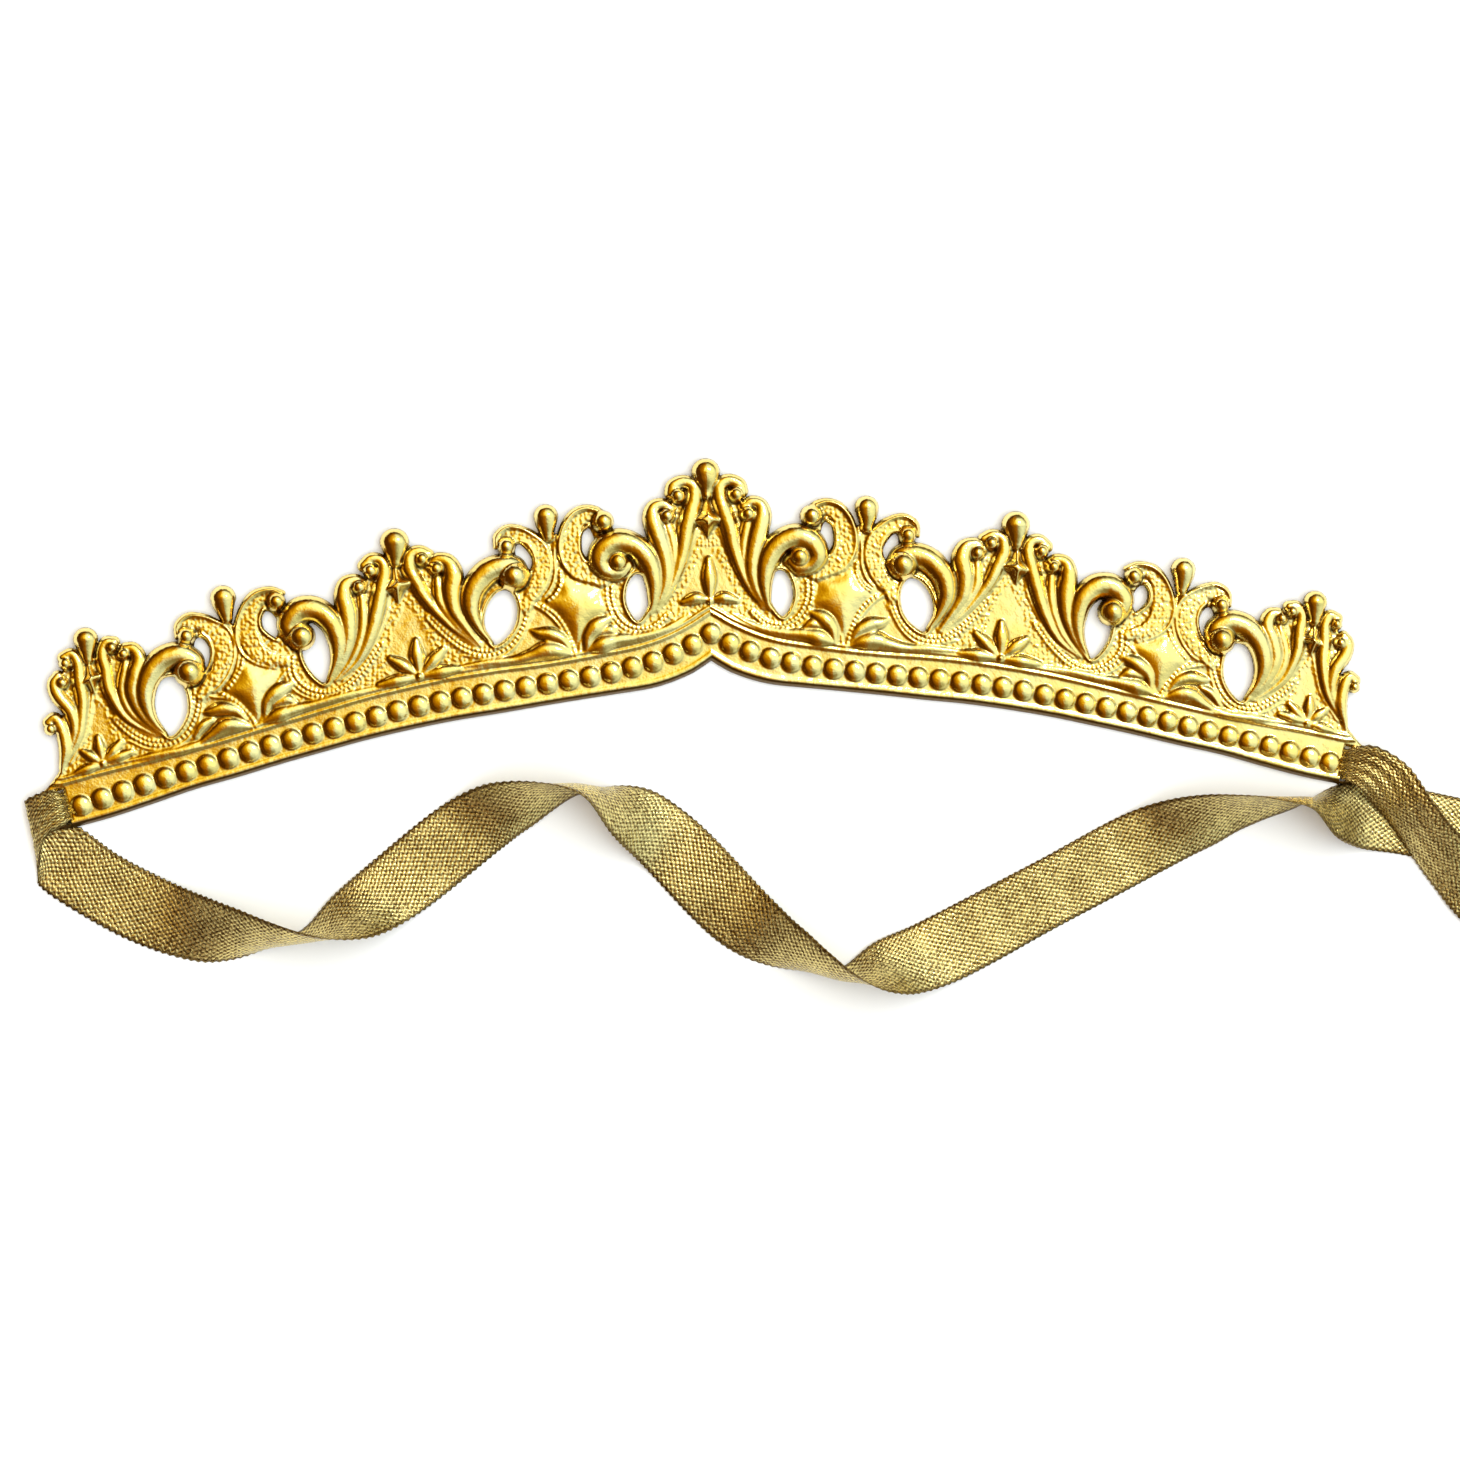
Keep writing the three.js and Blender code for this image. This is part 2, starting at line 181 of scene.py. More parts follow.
def makeTie(name, stations, seed):
    # ruled strip: point = first edge + across * (second edge - first edge) + ripple along its normal
    v = tie
    first = centripetal(stations[:, :3] + stations[:, 3:], v["perSpan"])
    second = centripetal(stations[:, :3] - stations[:, 3:], v["perSpan"])
    first[:, 2] = np.maximum(first[:, 2], v["low"])
    second[:, 2] = np.maximum(second[:, 2], v["low"])
    middle = (first + second) / 2
    walk = np.concatenate([[0], np.cumsum(np.linalg.norm(np.diff(middle, axis=0), axis=1))])
    even = np.linspace(0, walk[-1], int(walk[-1] / v["along"]) + 1)
    first, second = (
        np.stack([np.interp(even, walk, edge[:, k]) for k in range(3)], 1) for edge in (first, second)
    )
    middle = (first + second) / 2
    side = first - second
    width = np.linalg.norm(side, axis=1)[:, None]
    side /= width
    # where the tie is gathered through its slot, its loops stand out less
    drawn = np.clip(width / v["width"], 0, 1)
    loops = v["picot"] * np.cos(even * 2 * np.pi / v["picotStep"])[:, None] * drawn
    along = np.gradient(middle, axis=0)
    normal = np.cross(along, side)
    normal /= np.linalg.norm(normal, axis=1)[:, None]
    share = np.linspace(-1, 1, v["across"] + 1)
    rng = np.random.default_rng(seed)
    ripple = np.zeros((len(even), len(share)))
    for wave in rng.uniform((0.18, -1.4, 0), (0.75, 1.4, 6.28), (7, 3)):
        ripple += np.sin(even[:, None] * wave[0] + share * wave[1] * 2 + wave[2]) / 7
    gather = np.clip(1 - width / v["width"], 0, 1)
    ripple = ripple * v["pucker"] + gather * v["gather"] * np.cos(share * v["pleats"] + even[:, None] * 0.12)
    ripple += v["bow"] * side[:, 2:] ** 2 * (0.5 - share**2)
    half = width / 2 + loops
    body = middle[:, None] + side[:, None] * (share * half)[..., None]
    shift = normal[:, None] * ripple[..., None]
    thin = v["thick"] / 2 * (1 - v["thinEdge"] * np.abs(share) ** 6)[None, :, None]
    top = body + shift + normal[:, None] * thin
    low = body + shift - normal[:, None] * thin
    low[..., 2] = np.maximum(low[..., 2], v["clear"])
    top[..., 2] = np.maximum(top[..., 2], 2 * v["clear"])
    rows, columns = top.shape[:2]
    points = np.vstack([top.reshape(-1, 3), low.reshape(-1, 3)]) - [0, foot / mm, 0]
    index = np.arange(rows * columns).reshape(rows, columns)
    back = index + rows * columns

    def faces(a, b, c, d):
        return np.stack([a, b, c, d], -1).reshape(-1, 4)

    quads = np.vstack([
        faces(index[:-1, :-1], index[1:, :-1], index[1:, 1:], index[:-1, 1:]),
        faces(back[:-1, :-1], back[:-1, 1:], back[1:, 1:], back[1:, :-1]),
        faces(index[:-1, 0], back[:-1, 0], back[1:, 0], index[1:, 0]),
        faces(index[:-1, -1], index[1:, -1], back[1:, -1], back[:-1, -1]),
        faces(index[0, :-1], index[0, 1:], back[0, 1:], back[0, :-1]),
        faces(index[-1, :-1], back[-1, :-1], back[-1, 1:], index[-1, 1:]),
    ])
    obj = addMesh(name, points * mm, quads)
    uv = np.stack(np.broadcast_arrays(share * v["width"] / 2, even[:, None]), -1).reshape(-1, 2)
    uv = np.vstack([uv, uv])
    layer = obj.data.uv_layers.new(name="weave")
    corner = np.zeros(len(obj.data.loops), np.int32)
    obj.data.loops.foreach_get("vertex_index", corner)
    layer.data.foreach_set("uv", uv[corner].astype(np.float32).ravel())
    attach(obj, "root")
    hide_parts(name.replace("_ribbon", ""))
    return obj


leftRibbon = makeTie("left_tie_ribbon", leftStations, 3)
rightRibbon = makeTie("right_tie_ribbon", rightStations, 8)
print("ties made")


# Every length in the pattern is in millimetres, for one half; the two halves are alike about the peak.
crown = {
    "cell": 0.25,        # spacing of the surface's points
    "level": 1.9,        # the plain field's face above the table
    "sheet": 0.34,       # thickness of the foil card
    "rimDrop": 0.7,      # width of the turned-down lower edge, in plan
    "rimFoot": 0.36,
    "lip": 0.75,         # how far the cut edges turn down
    "lipWidth": 0.7,
    "beadRadius": 2.4,
    "beadLift": 0.42,    # height over radius
    "beads": 30,         # on each side of the peak bead
    "bandHeight": 0.42,  # of the double line above the beads
    "rimHeight": 0.26,   # of the rolled edge below them
    "bandLine": 0.5,     # half width of each of the two lines
    "grain": 0.96,       # pitch of the stippling
    "grainHeight": 0.2,
    "wave": 0.05,        # height of the sheet's gentle buckling
    "starGrow": 1.25,
    "starSlope": 1.3,    # height over distance from a star's edge, up to its flat top
    "starTop": 2.2,
    "swell": 1.3,        # height of the shields
    "swellReach": 1.5,   # distance from their edge over which they rise
    "swellBlur": 20,     # passes that round them off
    "hollowBlur": 7,     # passes for the average that the hollows lie below; the hollows are given painted shade
    # how far below that average a place must lie for full painted shade
    "hollowDepth": 0.35,
    "clear": 0.03,       # the least height of the back above the table
    "split": 72.5,       # each half is two pieces, which meet here
}

upperEdge = [
    (0, 44), (2.2, 42), (4, 41), (7, 39.5), (9, 37), (12, 35), (13.4, 31), (14.6, 28.5), (17, 29), (21, 29),
    (24, 30), (25, 33), (28, 34.6), (32, 33.6), (34.6, 31), (37.4, 31.5), (39.4, 29.6), (43, 31.2), (46, 31),
    (48, 28), (50, 24.8), (53.6, 21.6), (56.6, 19.6), (58.4, 21.6), (61, 24.4), (65, 25.6), (68.4, 26.2),
    (71, 25.4), (72.6, 26), (74.4, 24.6), (77, 24.8), (79.4, 21.8), (82.6, 20.2), (85, 17), (86.4, 14.4),
    (90, 15.4), (95, 15.4), (98, 14.6), (100, 17.4), (103.6, 18), (107.4, 15.4), (109.6, 12), (111.8, 14),
    (113.8, 12), (117, 13.6), (121, 12.4), (122.6, 9.4), (125, 6.6), (129, 3.6), (131, 3.4), (132.6, 6.4),
    (136, 6.6), (139.4, 7.4), (142, 5.6), (143.6, 6), (145, 4.2), (147.4, 4.6), (149, 3), (150.6, 0),
    (150.4, -3), (148.6, -6.4), (151, -8.4), (151.6, -11), (149.8, -13.6), (149.6, -17.6), (150.8, -20.4),
    (152.8, -23.2), (155.4, -26.2), (155.2, -30), (153.2, -33.4), (151.6, -34.2), (149, -33.4),
]
lowerEdge = [
    (0, 0.4), (2, -0.9), (5, -2.6), (10, -4.5), (15, -5.7), (22, -6.6), (30, -7.6), (40, -8.9), (50, -10.3),
    (60, -11.6), (70, -13.3), (80, -15.3), (90, -17.7), (100, -20.2), (110, -22.9), (120, -25.4),
    (130, -28.5), (140, -31.4), (149, -33.5),
]
beadLine = [
    (0, 6.8), (1.8, 5.7), (4.2, 4.4), (8.4, 2.6), (12.8, 0.9), (17.3, -0.2), (26.8, -2.1), (41.2, -4),
    (55.5, -5.9), (70, -8.2), (85.3, -11.7), (100.4, -15.3), (115.5, -19.4), (130.5, -23.5), (146, -28.2),
]
bandLine = [
    (0, 12.4), (2.4, 11), (5, 9.4), (10, 7), (15, 5.3), (20, 4.2), (31, 2.4), (40, 1.2), (50, 0.2),
    (60, -1.1), (70, -2.9), (80, -5), (90, -7.6), (100, -10.3), (110, -13), (120, -15.6), (130, -17.9),
    (140, -20), (150, -22.4),
]
# x, y, width, height, lean
ovals = [
    (16.8, 15.6, 5.4, 10.7, 0.03), (48.7, 11.9, 7.4, 12.8, 0.24), (91, 5, 6.8, 14, -0.2),
    (125, -6.2, 7.8, 13.6, 0.02),
]
crescents = [
    (28, 28.4, 3.4, 8.4, -0.15), (42.6, 25.6, 3.8, 7, -0.4), (101.6, 11.8, 3.4, 6.4, -0.3),
    (117.2, 5.4, 3.6, 8, -0.25),
]
slot = {"x": 149.7, "y": -28.7, "length": 8.4, "width": 1.5, "lean": 0.23}

# strokes: rows of x, y and half width
stems = [
    # peak motif: inner and outer stems with their curled heads, and the flute between
    [(12.4, 12.6, 0.35), (9.6, 16.6, 0.8), (7.2, 22, 1.15), (5.8, 27, 1.4), (5, 31.4, 1.6), (3.8, 35.4, 1.6),
     (2.9, 38.8, 1.45), (3.3, 41.2, 1.4), (5.4, 42.1, 1.3), (7.6, 41.2, 1.35), (8.2, 39.6, 1.3)],
    [(13.4, 12.2, 0.35), (11.2, 16, 1), (10, 20.6, 1.5), (10.6, 26, 1.8), (12, 30.6, 2), (12.9, 34, 1.8),
     (12.4, 36.3, 1.4), (10.4, 37, 1.2), (8.7, 36, 1.15)],
    [(12.7, 12.4, 0.3), (9.6, 17.5, 0.75), (8.2, 22.8, 1), (8.3, 27.6, 1.15), (9.2, 31.4, 1.1),
     (9.8, 33.4, 0.8)],
    # fan motif
    [(53.6, 5.6, 0.35), (56.6, 9.4, 0.9), (59.4, 13.8, 1.5), (60, 18.4, 1.9), (59.4, 22, 2),
     (60.4, 24.9, 1.6), (62.8, 25.7, 1.3), (64.3, 24.5, 1.1)],
    [(54, 5.4, 0.3), (59, 10.4, 0.8), (62.4, 15.6, 1.1), (63, 19.4, 1), (63.1, 21.8, 0.7)],
    [(54.4, 5.2, 0.3), (60.6, 10.6, 0.8), (65.6, 16.4, 1.2), (67.9, 20.6, 1.4), (69.5, 24, 1.45),
     (69.1, 26.8, 1.3), (67, 27.7, 1.2), (64.9, 26.9, 1.1)],
    [(86.4, -1.4, 0.3), (81.8, 3, 0.8), (78.8, 9, 1.3), (77.1, 15, 1.55), (75.9, 20, 1.5), (75.2, 23.6, 1.35),
     (76, 25.8, 1.25), (78.1, 26.2, 1.2), (79.8, 24.7, 1.2)],
    [(88.2, -1.6, 0.35), (85.6, 3, 1), (84, 8.4, 1.6), (84, 13.6, 1.95), (84.7, 17.6, 1.85),
     (84.2, 20.5, 1.5), (82.1, 21.5, 1.2), (80.4, 20.9, 1.1)],
    [(87.2, -1.6, 0.3), (83.2, 3.4, 0.8), (81, 8.6, 1.05), (80.4, 13.6, 1.05), (80.6, 17.6, 0.8)],
    # end motif
    [(126.8, -12.8, 0.35), (131, -8.6, 1.1), (133.4, -3.4, 1.6), (132.9, 1, 1.75), (131.8, 4.6, 1.55),
     (132.9, 7.1, 1.3), (134.8, 7.4, 1.1)],
    [(127.4, -13, 0.3), (133.8, -7.6, 0.9), (135.9, -2.4, 1), (135.2, 2.4, 0.9), (134.9, 4.2, 0.7)],
    [(128.2, -13.1, 0.3), (135, -8.6, 0.8), (138.6, -2.4, 1.2), (139.5, 3, 1.3), (140.2, 6.4, 1.25),
     (139.2, 8.8, 1.15), (137.3, 8.9, 1.1)],
    [(148.8, -18, 0.35), (145.9, -12, 0.9), (144.9, -5, 1.15), (145.5, 0.4, 1.3), (145.7, 4.2, 1.25),
     (147, 6.4, 1.15), (148.9, 5.7, 1.1)],
    [(149.6, -18.6, 0.35), (147, -12, 0.95), (147.5, -7, 1.35), (150.2, -3.2, 1.45), (151.2, -0.4, 1.3),
     (150.2, 1.5, 1.1)],
    [(150.2, -20.4, 0.4), (149.1, -15, 1.25), (149.7, -10.8, 1.3), (151.2, -8.2, 1.2), (152.7, -9, 1.1)],
]
horns = [
    [(14, 11.8, 0.4), (13.2, 15, 1.1), (12.9, 19, 1.8), (13.9, 23.5, 2.3), (16.6, 27, 2.55),
     (20.6, 28.6, 2.65), (24.2, 27.2, 2.6), (25.4, 24.2, 2.3), (23.8, 21.9, 1.8), (21, 21.5, 1.6),
     (19.3, 23, 1.5)],
    [(50.9, 6, 0.4), (53.9, 9.8, 1.1), (55.6, 14, 1.9), (55, 18.4, 2.35), (52.2, 22, 2.5), (48.8, 23.6, 2.45),
     (45.4, 23.6, 2.2), (43.6, 21.8, 1.8)],
    [(88.9, -1.6, 0.4), (87, 2.6, 1.1), (86.4, 7.4, 1.9), (87.8, 12, 2.4), (91.2, 14.9, 2.55),
     (95, 14.8, 2.6), (97.4, 12, 2.4), (96.6, 9.2, 2)],
    [(126.2, -12.6, 0.4), (129.2, -9, 1.1), (130.7, -4.6, 1.9), (130, 0, 2.35), (127.2, 4, 2.55),
     (123.2, 5.6, 2.5), (119.8, 4.4, 2.2), (119, 2.4, 1.9)],
]
# x, y, radius of the balls held in the stems' heads, the horns and the arms
stemBalls = [
    (6.8, 38.9, 1.75), (9.5, 34.3, 1.7), (63.2, 23.7, 1.6), (66.5, 25.9, 1.6), (78.4, 23.6, 1.65),
    (81.1, 19.9, 1.6), (135.3, 6.2, 1.4), (137.9, 7.7, 1.35), (148.5, 4.4, 1.4), (149.4, 0, 1.35),
    (152.3, -10.5, 1.35),
]
hornBalls = [(21.2, 24, 2), (45.4, 21.4, 2.7), (94.7, 8.9, 2.6), (120.6, 1.6, 2.7)]
armBalls = [(24.3, 33.4, 2.3), (46.9, 28.3, 1.9), (100.1, 17.1, 1.95), (120.9, 9.8, 1.85)]
# a shield's two arms, back to back: the plate under the stippling, then the ridges along its sides
arms = [
    [(24.2, 33.6, 1.9), (26.4, 35.2, 2), (29.2, 35, 2.3), (31.4, 32.6, 2.4), (32.2, 29.2, 2.8),
     (32, 25.6, 2.9), (30.6, 22.6, 2.6), (27.6, 20.9, 2), (24.6, 19.8, 1.6)],
    [(47.6, 30, 1.9), (45.2, 31, 2), (42.4, 30.4, 2.2), (40, 28.2, 2.4), (38.9, 25.4, 2.2), (39, 22.2, 2.1),
     (40.2, 19.2, 1.9), (41.6, 16.8, 1.7), (42.8, 14, 1.5)],
    [(100, 17.4, 1.8), (102.2, 18.6, 1.8), (104.8, 17.8, 2.1), (106.6, 15, 2.3), (107, 11.8, 2.6),
     (106.4, 8.4, 2.6), (104.6, 5.4, 2.3), (101.6, 3.9, 1.8), (98.6, 3.4, 1.4)],
    [(121.4, 11.6, 1.7), (118.8, 12.8, 1.8), (115.8, 12, 2.1), (113.4, 9.6, 2.3), (112.5, 6.4, 2.3),
     (112.9, 3.2, 2.1), (114.4, 0.4, 1.9), (116.2, -1.8, 1.7), (118, -4, 1.4)],
]
armRidges = [
    [(25.6, 36, 0.75), (28.4, 36.6, 0.85), (31.4, 35.4, 0.9), (33.6, 32.4, 0.85), (34.6, 29, 0.7),
     (34.5, 25.8, 0.6), (33.2, 22.6, 0.5), (30.6, 20.4, 0.45), (27.6, 19.3, 0.42), (25.2, 18.3, 0.35)],
    [(27.8, 32.6, 0.55), (29.5, 31, 0.55), (29.9, 28.2, 0.55), (29.7, 26, 0.55), (28.8, 24.4, 0.5),
     (27.2, 23.5, 0.4)],
    [(49.3, 28.2, 0.65), (49, 30.8, 0.8), (46.6, 32.6, 0.8), (43.6, 32.4, 0.75), (40.8, 30.8, 0.6),
     (38.2, 28.6, 0.5), (36.9, 25.8, 0.45), (36.9, 22.4, 0.45), (38, 19.2, 0.42), (39.4, 17, 0.4),
     (40.4, 15.8, 0.35)],
    [(35.7, 28.8, 0.35), (35.9, 25.4, 0.38), (35.8, 22, 0.38), (36.8, 18.6, 0.38), (38.6, 16.4, 0.3)],
    [(44.6, 29.2, 0.5), (42.2, 28.9, 0.55), (40.8, 26.8, 0.55), (40.6, 24.2, 0.5), (41.4, 22.1, 0.45),
     (42.6, 20.6, 0.4)],
    [(98.6, 19, 0.7), (101.4, 19.9, 0.8), (104.6, 19.2, 0.85), (107.2, 17, 0.8), (108.9, 13.8, 0.7),
     (109.6, 10.6, 0.6), (109.3, 7.6, 0.5), (107.8, 4.8, 0.45), (104.6, 2.7, 0.42), (100.4, 1.7, 0.35)],
    [(103.2, 15.2, 0.55), (104, 13.2, 0.55), (103.7, 11, 0.55), (102, 9.2, 0.5), (100.2, 8.2, 0.4)],
    [(123, 9.6, 0.6), (122.8, 12.4, 0.75), (120.4, 14.4, 0.8), (117, 14.2, 0.75), (114, 13, 0.65),
     (111.4, 11.2, 0.55), (110.2, 8.4, 0.45), (110.1, 4.6, 0.45), (111.4, 1, 0.42), (113.4, -1.8, 0.4),
     (115.2, -3.2, 0.35)],
    [(109, 9.6, 0.35), (109.1, 5, 0.38), (110.2, 0.8, 0.38), (112.4, -2.2, 0.3)],
    [(117.4, 10.4, 0.55), (115.8, 8.8, 0.55), (115.2, 6.2, 0.55), (115.5, 3.6, 0.5), (116.6, 1.6, 0.45),
     (118.4, 0.4, 0.4)],
]
# strips with two rows of small beads: along the ovals, beside the arms and down the shields' lower sides
beadStrips = [
    [(23.4, 18.6, 1.2), (23.4, 15.4, 1.2), (22.2, 11.6, 1.15), (19.8, 8.9, 1.1), (16.4, 7.9, 1),
     (13, 8.7, 0.9), (10, 11.4, 0.8)],
    [(43.3, 17.4, 1.2), (43.3, 13.4, 1.15), (44.4, 9.6, 1.1), (46.6, 6.2, 1.05), (49.6, 4.2, 1.05),
     (53.4, 3.7, 1.05), (57.6, 5.2, 1), (61.6, 8.4, 0.95), (65.4, 12.4, 0.9)],
    [(97.4, 4.6, 1.1), (97.2, 0.4, 1.15), (95.2, -2.6, 1.1), (92, -4.3, 1.05), (88, -4.5, 1),
     (84.2, -2.6, 0.95), (80, 1.6, 0.9), (76.6, 6.6, 0.9)],
    [(118.8, -2.4, 1.2), (119.3, -6, 1.15), (120.4, -9.6, 1.1), (122.6, -12.8, 1.05), (125.8, -14.4, 1),
     (129.8, -14.4, 1), (134, -12.2, 0.95), (137.6, -8.8, 0.85)],
    [(39.4, 14.4, 0.45), (36.4, 12.4, 0.55), (34.2, 9.4, 0.55), (32.7, 6, 0.5), (31.6, 2.6, 0.4)],
    [(113.6, -3.6, 0.45), (110.4, -5.4, 0.55), (108, -7.8, 0.55), (106.4, -10, 0.5), (105.4, -12, 0.4)],
    [(34.7, 22.6, 0.45), (34.7, 19.6, 0.5), (36, 17, 0.5), (37.8, 15.5, 0.4)],
    [(108.2, 4.6, 0.45), (108.7, 2.4, 0.5), (110.4, -0.6, 0.5), (112.4, -2.9, 0.4)],
]
bulbs = [
    [(0, 44.1, 2.95), (0, 42, 2.5), (0, 40.2, 1.4)],
    [(37.5, 34.9, 2.5), (37.5, 33, 2.1), (37.3, 30.4, 1.2)],
    [(72.6, 29.8, 3), (72.6, 27.9, 2.4), (72.6, 25.6, 1.4)],
    [(112.2, 18.2, 2.6), (112.1, 16.6, 2.2), (111.6, 13.6, 1.2)],
    [(143.7, 9.6, 2.5), (143.6, 8, 2), (143.4, 5.4, 1.2)],
]
# closed outlines
stars = [
    [(0, 38.2), (1.2, 34.8), (3.7, 33), (1.3, 31.8), (0, 29.6), (-1.3, 31.8), (-3.7, 33), (-1.2, 34.8)],
    [(72.8, 25), (73.4, 21.4), (76.2, 18.9), (73.4, 18.3), (72.2, 16.4), (71, 18.9), (68.3, 20.6),
     (71.5, 21.6)],
    [(143.4, 4.6), (143.8, 1.6), (146, -1), (143.6, -0.8), (142, -2.6), (141.6, 0), (139.2, 1.6), (141.9, 2)],
]
shields = [
    [(25, 18.1), (30, 19), (34.1, 20.6), (35.4, 17.4), (39.2, 15), (36, 12.9), (33.7, 9.6), (32.2, 6),
     (31.2, 2.5), (30, 6.5), (28, 9.8), (25.2, 12), (22.6, 12.6), (24.7, 14.6), (25.7, 16.4)],
    [(99.2, 1.2), (104, 1.8), (108.4, 3.8), (109.4, 0.6), (111.4, -1.8), (113.6, -3.2), (110, -5),
     (107.6, -7.4), (106.2, -9.8), (105.2, -11.8), (104.1, -8.4), (102.6, -4.8), (101, -1.8)],
]
# fields left smooth inside the stippling
smoothFields = [
    [(0, 27.4), (-2.4, 24), (-5.2, 18), (-6.4, 15.6), (0, 13.4), (6.4, 15.6), (5.2, 18), (2.4, 24)],
    [(35.4, 10.4), (40.4, 14), (41.8, 11), (43.4, 7.6), (45.4, 4.8), (48.4, 2.4), (33, 3)],
    [(108.8, -7.2), (113.6, -4.2), (116.6, -5), (118.6, -9.6), (120.6, -13.4), (106, -12)],
    [(63.6, 1), (67.4, 11.6), (70.6, 16.2), (73.2, 11), (75.6, 1), (68, -1.4)],
    [(138.2, -14.4), (140.4, -5.4), (142.2, -5.4), (143.6, -13.8), (141, -17.6)],
]
creaseLines = [
    [(12.2, 12.2, 0.32), (8, 18, 0.34), (5.2, 23.4, 0.34), (3.6, 27.8, 0.34), (2.6, 31, 0.32)],
    [(54.6, 4.8, 0.32), (61.4, 9.6, 0.34), (66.3, 15, 0.34), (69.4, 19.4, 0.32)],
    [(85.4, -1.6, 0.32), (80.3, 2.6, 0.34), (76.7, 9, 0.34), (74.8, 14, 0.34), (74.4, 17.4, 0.32)],
    [(128.8, -13.5, 0.32), (135.8, -9.6, 0.34), (139.5, -4, 0.34), (140.6, -0.4, 0.32)],
    [(148, -18.4, 0.32), (144.3, -12, 0.34), (142.9, -5, 0.34), (142.6, -2, 0.32)],
    [(31, 2.4, 0.35), (30, 6.8, 0.4), (28, 10.2, 0.4), (25, 12.4, 0.4), (22.6, 13, 0.35)],
    [(32.4, 2.4, 0.35), (33.6, 6.6, 0.38), (35.6, 10, 0.4), (37.8, 12.4, 0.4), (40.6, 14.4, 0.35)],
    [(105, -12, 0.35), (103.8, -8.2, 0.4), (102.2, -4.4, 0.4), (100.4, -1.4, 0.4), (98.6, 1, 0.35)],
    [(106.4, -12, 0.35), (107.6, -9.4, 0.38), (109.6, -6.8, 0.4), (112, -5, 0.4), (116, -4.2, 0.35)],
    [(41.4, 15.8, 0.3), (42, 12.6, 0.32), (43.2, 9, 0.34), (45.4, 5.4, 0.34), (48.6, 3, 0.34),
     (52.6, 2.5, 0.32), (57.6, 3.4, 0.3)],
    [(24.9, 17.4, 0.3), (24.6, 14.4, 0.32), (23.6, 11.2, 0.34), (21, 8, 0.34), (16.6, 6.7, 0.34),
     (11.8, 7.8, 0.3)],
    [(98.8, 4.6, 0.3), (98.6, 0, 0.32), (96.4, -3.6, 0.34), (92.4, -5.6, 0.34), (87.4, -5.8, 0.34),
     (83, -3.6, 0.3)],
    [(117.6, -4.4, 0.3), (118, -7, 0.32), (119, -10.4, 0.34), (121.6, -14, 0.34), (125.6, -15.8, 0.34),
     (130.4, -15.8, 0.32), (134.6, -13.8, 0.3)],
]
leaves = [
    [(29, 3.4, 0.6), (28.4, 7, 1.4), (26.4, 9.4, 1.7), (23.2, 11.2, 0.5)],
    [(28.8, 3.6, 0.6), (25.6, 4.9, 1.7), (21.8, 5.9, 1.3), (17, 6.4, 0.9), (11, 7.9, 0.7), (5, 11.2, 0.3)],
    [(26.2, 7.6, 0.9), (23.6, 8.2, 1.1), (22, 7.2, 0.6)],
    [(32.9, 3.8, 0.5), (34.5, 6.2, 1.2), (37.2, 7.6, 1.4), (40, 8.1, 1), (41.8, 8.8, 0.3)],
    [(32.9, 3, 0.6), (35.4, 3.7, 1.6), (38.6, 3.9, 1.8), (41.8, 2.9, 1.3), (46, 1.9, 0.9), (52, 1.5, 0.8),
     (61.4, 0.2, 0.3)],
    [(36, 5.4, 0.8), (38, 5.9, 0.9), (38.8, 5.2, 0.5)],
    [(103.6, -9.6, 0.5), (102.8, -5.8, 1.4), (100.2, -3.4, 1.6), (96.8, -1.6, 0.5)],
    [(103.6, -10.4, 0.6), (100.6, -9, 1.5), (97.4, -8, 1.3), (93, -7, 0.9), (86, -5.2, 0.8), (77, -3.2, 0.3)],
    [(101.4, -6.4, 0.9), (98.4, -5.6, 1.1), (96.6, -6.4, 0.6)],
    [(108, -9.8, 0.5), (110, -7.8, 1.1), (113, -7.1, 1.3), (115.6, -7.6, 1), (117.6, -7.8, 0.3)],
    [(107.4, -11.4, 0.6), (110, -10.9, 1.4), (113, -11.2, 1.6), (115.6, -13, 1.1), (118, -14.6, 0.6)],
    [(115.6, -9.6, 0.6), (118, -11, 0.9), (119.6, -13.4, 0.5)],
    [(116, -14.6, 0.3), (122, -16.2, 0.8), (129, -17.3, 0.8), (135, -18.6, 0.3)],
]
petals = [
    [(0, 15.4, 0.4), (0, 19.6, 1.35), (0, 24, 0.4)],
    [(0.9, 14.7, 0.3), (3.4, 15, 1), (6.2, 14.2, 0.3)],
    [(66.7, -0.9, 0.4), (62.6, -0.2, 1.1), (58.4, 0.4, 0.3)],
    [(66.9, -0.2, 0.4), (64.5, 2.6, 1.05), (62.3, 4.9, 0.4)],
    [(68, 0.2, 0.4), (68.3, 3.8, 1.3), (68.4, 7.1, 0.4)],
    [(69, -0.3, 0.4), (71.7, 1.6, 1.1), (74.4, 3.2, 0.4)],
    [(69.2, -1.4, 0.4), (73, -2, 1.1), (77.2, -2.8, 0.3)],
    [(139.9, -18.3, 0.3), (137, -17.3, 0.8), (134.2, -16.3, 0.3)],
    [(140.1, -17.9, 0.3), (138.2, -15.9, 0.8), (136.6, -14, 0.3)],
    [(140.9, -17.6, 0.3), (141.3, -15.2, 0.85), (141.6, -12.8, 0.3)],
    [(141.5, -18.2, 0.3), (143.4, -17, 0.8), (145.2, -15.8, 0.3)],
    [(141.6, -19, 0.3), (144, -19.8, 0.8), (146.6, -20.7, 0.3)],
]
knots = [
    (0, 38.9, 1.25), (72.7, 25.2, 1.1), (143.4, 5, 0.95), (0, 14.2, 0.8), (67.9, -1.1, 1),
    (140.7, -18.7, 0.85),
]

